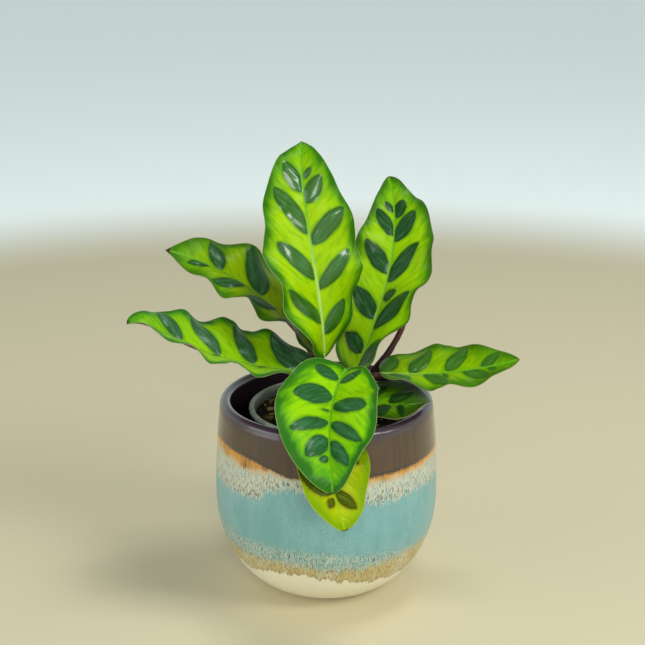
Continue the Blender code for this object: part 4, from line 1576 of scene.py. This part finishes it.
    def build(self) -> None:
        """Builds the soil's pieces and dresses them."""
        draw = np.random.default_rng(self.seed)
        peat = Earth("damp_peat", (0.005, 0.004, 0.002), (0.034, 0.023, 0.010))
        crumb = Earth(
            "peat_crumbs", (0.005, 0.004, 0.002), (0.060, 0.042, 0.014), scale=1400.0, depth=0.0002,
        )
        bark = Earth(
            "bark_chips", (0.014, 0.009, 0.003), (0.30, 0.22, 0.07), grain=(1.0, 1.0, 0.3), scale=1100.0,
            depth=0.0002,
        )
        set_down(self.body(), "soil", Slot.SOIL, peat.material())
        crumb_finish = crumb.material()
        for name, divisions, count, sizes in (
            ("soil_crumbs", 1, self.crumbs, (0.4 * MM, 1.3 * MM)),
            ("soil_lumps", 2, self.lumps, (1.0 * MM, 3.2 * MM)),
        ):
            deselect()
            bpy.ops.mesh.primitive_ico_sphere_add(subdivisions=divisions, radius=0.5)
            grains = self.scattered(name, named("grain"), count, sizes, self.round_heights, draw)
            set_down(grains, "soil", Slot.SOIL, crumb_finish)
        sizes = (0.9 * MM, 4.2 * MM)
        chips = self.scattered("soil_bark", self.chip(), self.chips, sizes, self.flat_heights, draw)
        smooth(chips, degrees=30)
        set_down(chips, "soil", Slot.SOIL, bark.material())


@dataclass(frozen=True)
class Room:
    """The light from all round: pale walls and a dimmer ceiling."""

    name: str = "pale_room"
    walls: Colour = (0.90, 1.0, 0.98)
    ceiling: Colour = (0.18, 0.19, 0.20)
    fade: Pair = (0.25, 0.80)
    strength: float = 0.85

    def world(self) -> bpy.types.World:
        """Builds the world from the height of each direction."""
        board = Board(bpy.data.worlds.new(self.name))
        direction = board.node("ShaderNodeTexCoord", {}, {}, "Generated")
        height = board.node("ShaderNodeSeparateXYZ", {}, {0: direction}, "Z")
        shade = board.blend(board.rise(height, *self.fade), self.walls, self.ceiling)
        return board.finish(Color=shade, Strength=self.strength)


@dataclass(frozen=True)
class Softbox:
    """A square soft light: where it hangs, how wide it is, its power in watts, and its colour."""

    name: str
    place: Point
    size: float
    power: float
    colour: Colour = (1.0, 1.0, 0.98)

    def hang(self, aim: Point) -> None:
        """Hangs the light, facing a point."""
        deselect()
        turn = (Vector(self.place) - Vector(aim)).to_track_quat("Z", "Y").to_euler()
        bpy.ops.object.light_add(type="AREA", location=self.place, rotation=turn)
        light = bpy.context.active_object
        light.name = self.name
        light.data.size = self.size
        light.data.energy = self.power
        light.data.color = self.colour


SOFTBOXES = (
    Softbox("window_light", (0.87, -0.7, 1.01), 0.4, 7.4),
    Softbox("right_light", (1.15, -0.5, 0.6), 0.3, 1.8, (1.0, 1.0, 0.95)),
    Softbox("top_light", (0.27, 0.03, 1.45), 0.4, 6.0),
    Softbox("front_light", (0.07, -1.26, 0.79), 0.36, 4.0),
    Softbox("left_light", (-1.2, -0.5, 0.35), 0.9, 5.0, (1.0, 0.99, 0.96)),
)


@dataclass
class Studio:
    """The stage: camera at the photograph's angle, pale floor and soft lights."""

    eye: Point = (-0.002, -0.6831, 0.3645)
    look_down: float = 17.94
    lens: float = 78.0
    sensor: float = 36.0
    floor_size: float = 12.0
    middle: Point = (0.0, 0.0, 0.12)

    def camera(self) -> None:
        """Sets the camera up."""
        deselect()
        tilt = math.radians(90 - self.look_down)
        bpy.ops.object.camera_add(location=self.eye, rotation=(tilt, 0, 0))
        camera = bpy.context.active_object
        camera.data.lens = self.lens
        camera.data.sensor_width = self.sensor
        camera.data.clip_start = 0.01
        bpy.context.scene.camera = camera

    def floor(self) -> None:
        """Lays the floor."""
        deselect()
        bpy.ops.mesh.primitive_plane_add(size=self.floor_size)
        floor = named("stage_floor")
        floor.data.materials.append(StageFloor().material())

    def build(self) -> None:
        """Sets the whole stage."""
        self.camera()
        self.floor()
        for softbox in SOFTBOXES:
            softbox.hang(self.middle)
        bpy.context.scene.world = Room().world()
        bpy.context.scene.view_settings.view_transform = "Standard"


def main() -> None:
    """Builds the stage and the plant."""
    logging.basicConfig(level=logging.INFO, format="%(name)s: %(message)s")
    Studio().build()
    GlazedPot().build()
    NurseryPot().build()
    Soil().build()
    upper = {skin: LEAF_SKINS[skin].material() for skin in Skin}
    look = LeafLook(upper, LeafUnderside().material(), StemSkin().material())
    for leaf in LEAVES:
        leaf.build(look)
    deselect()


if __name__ == "__main__":
    main()
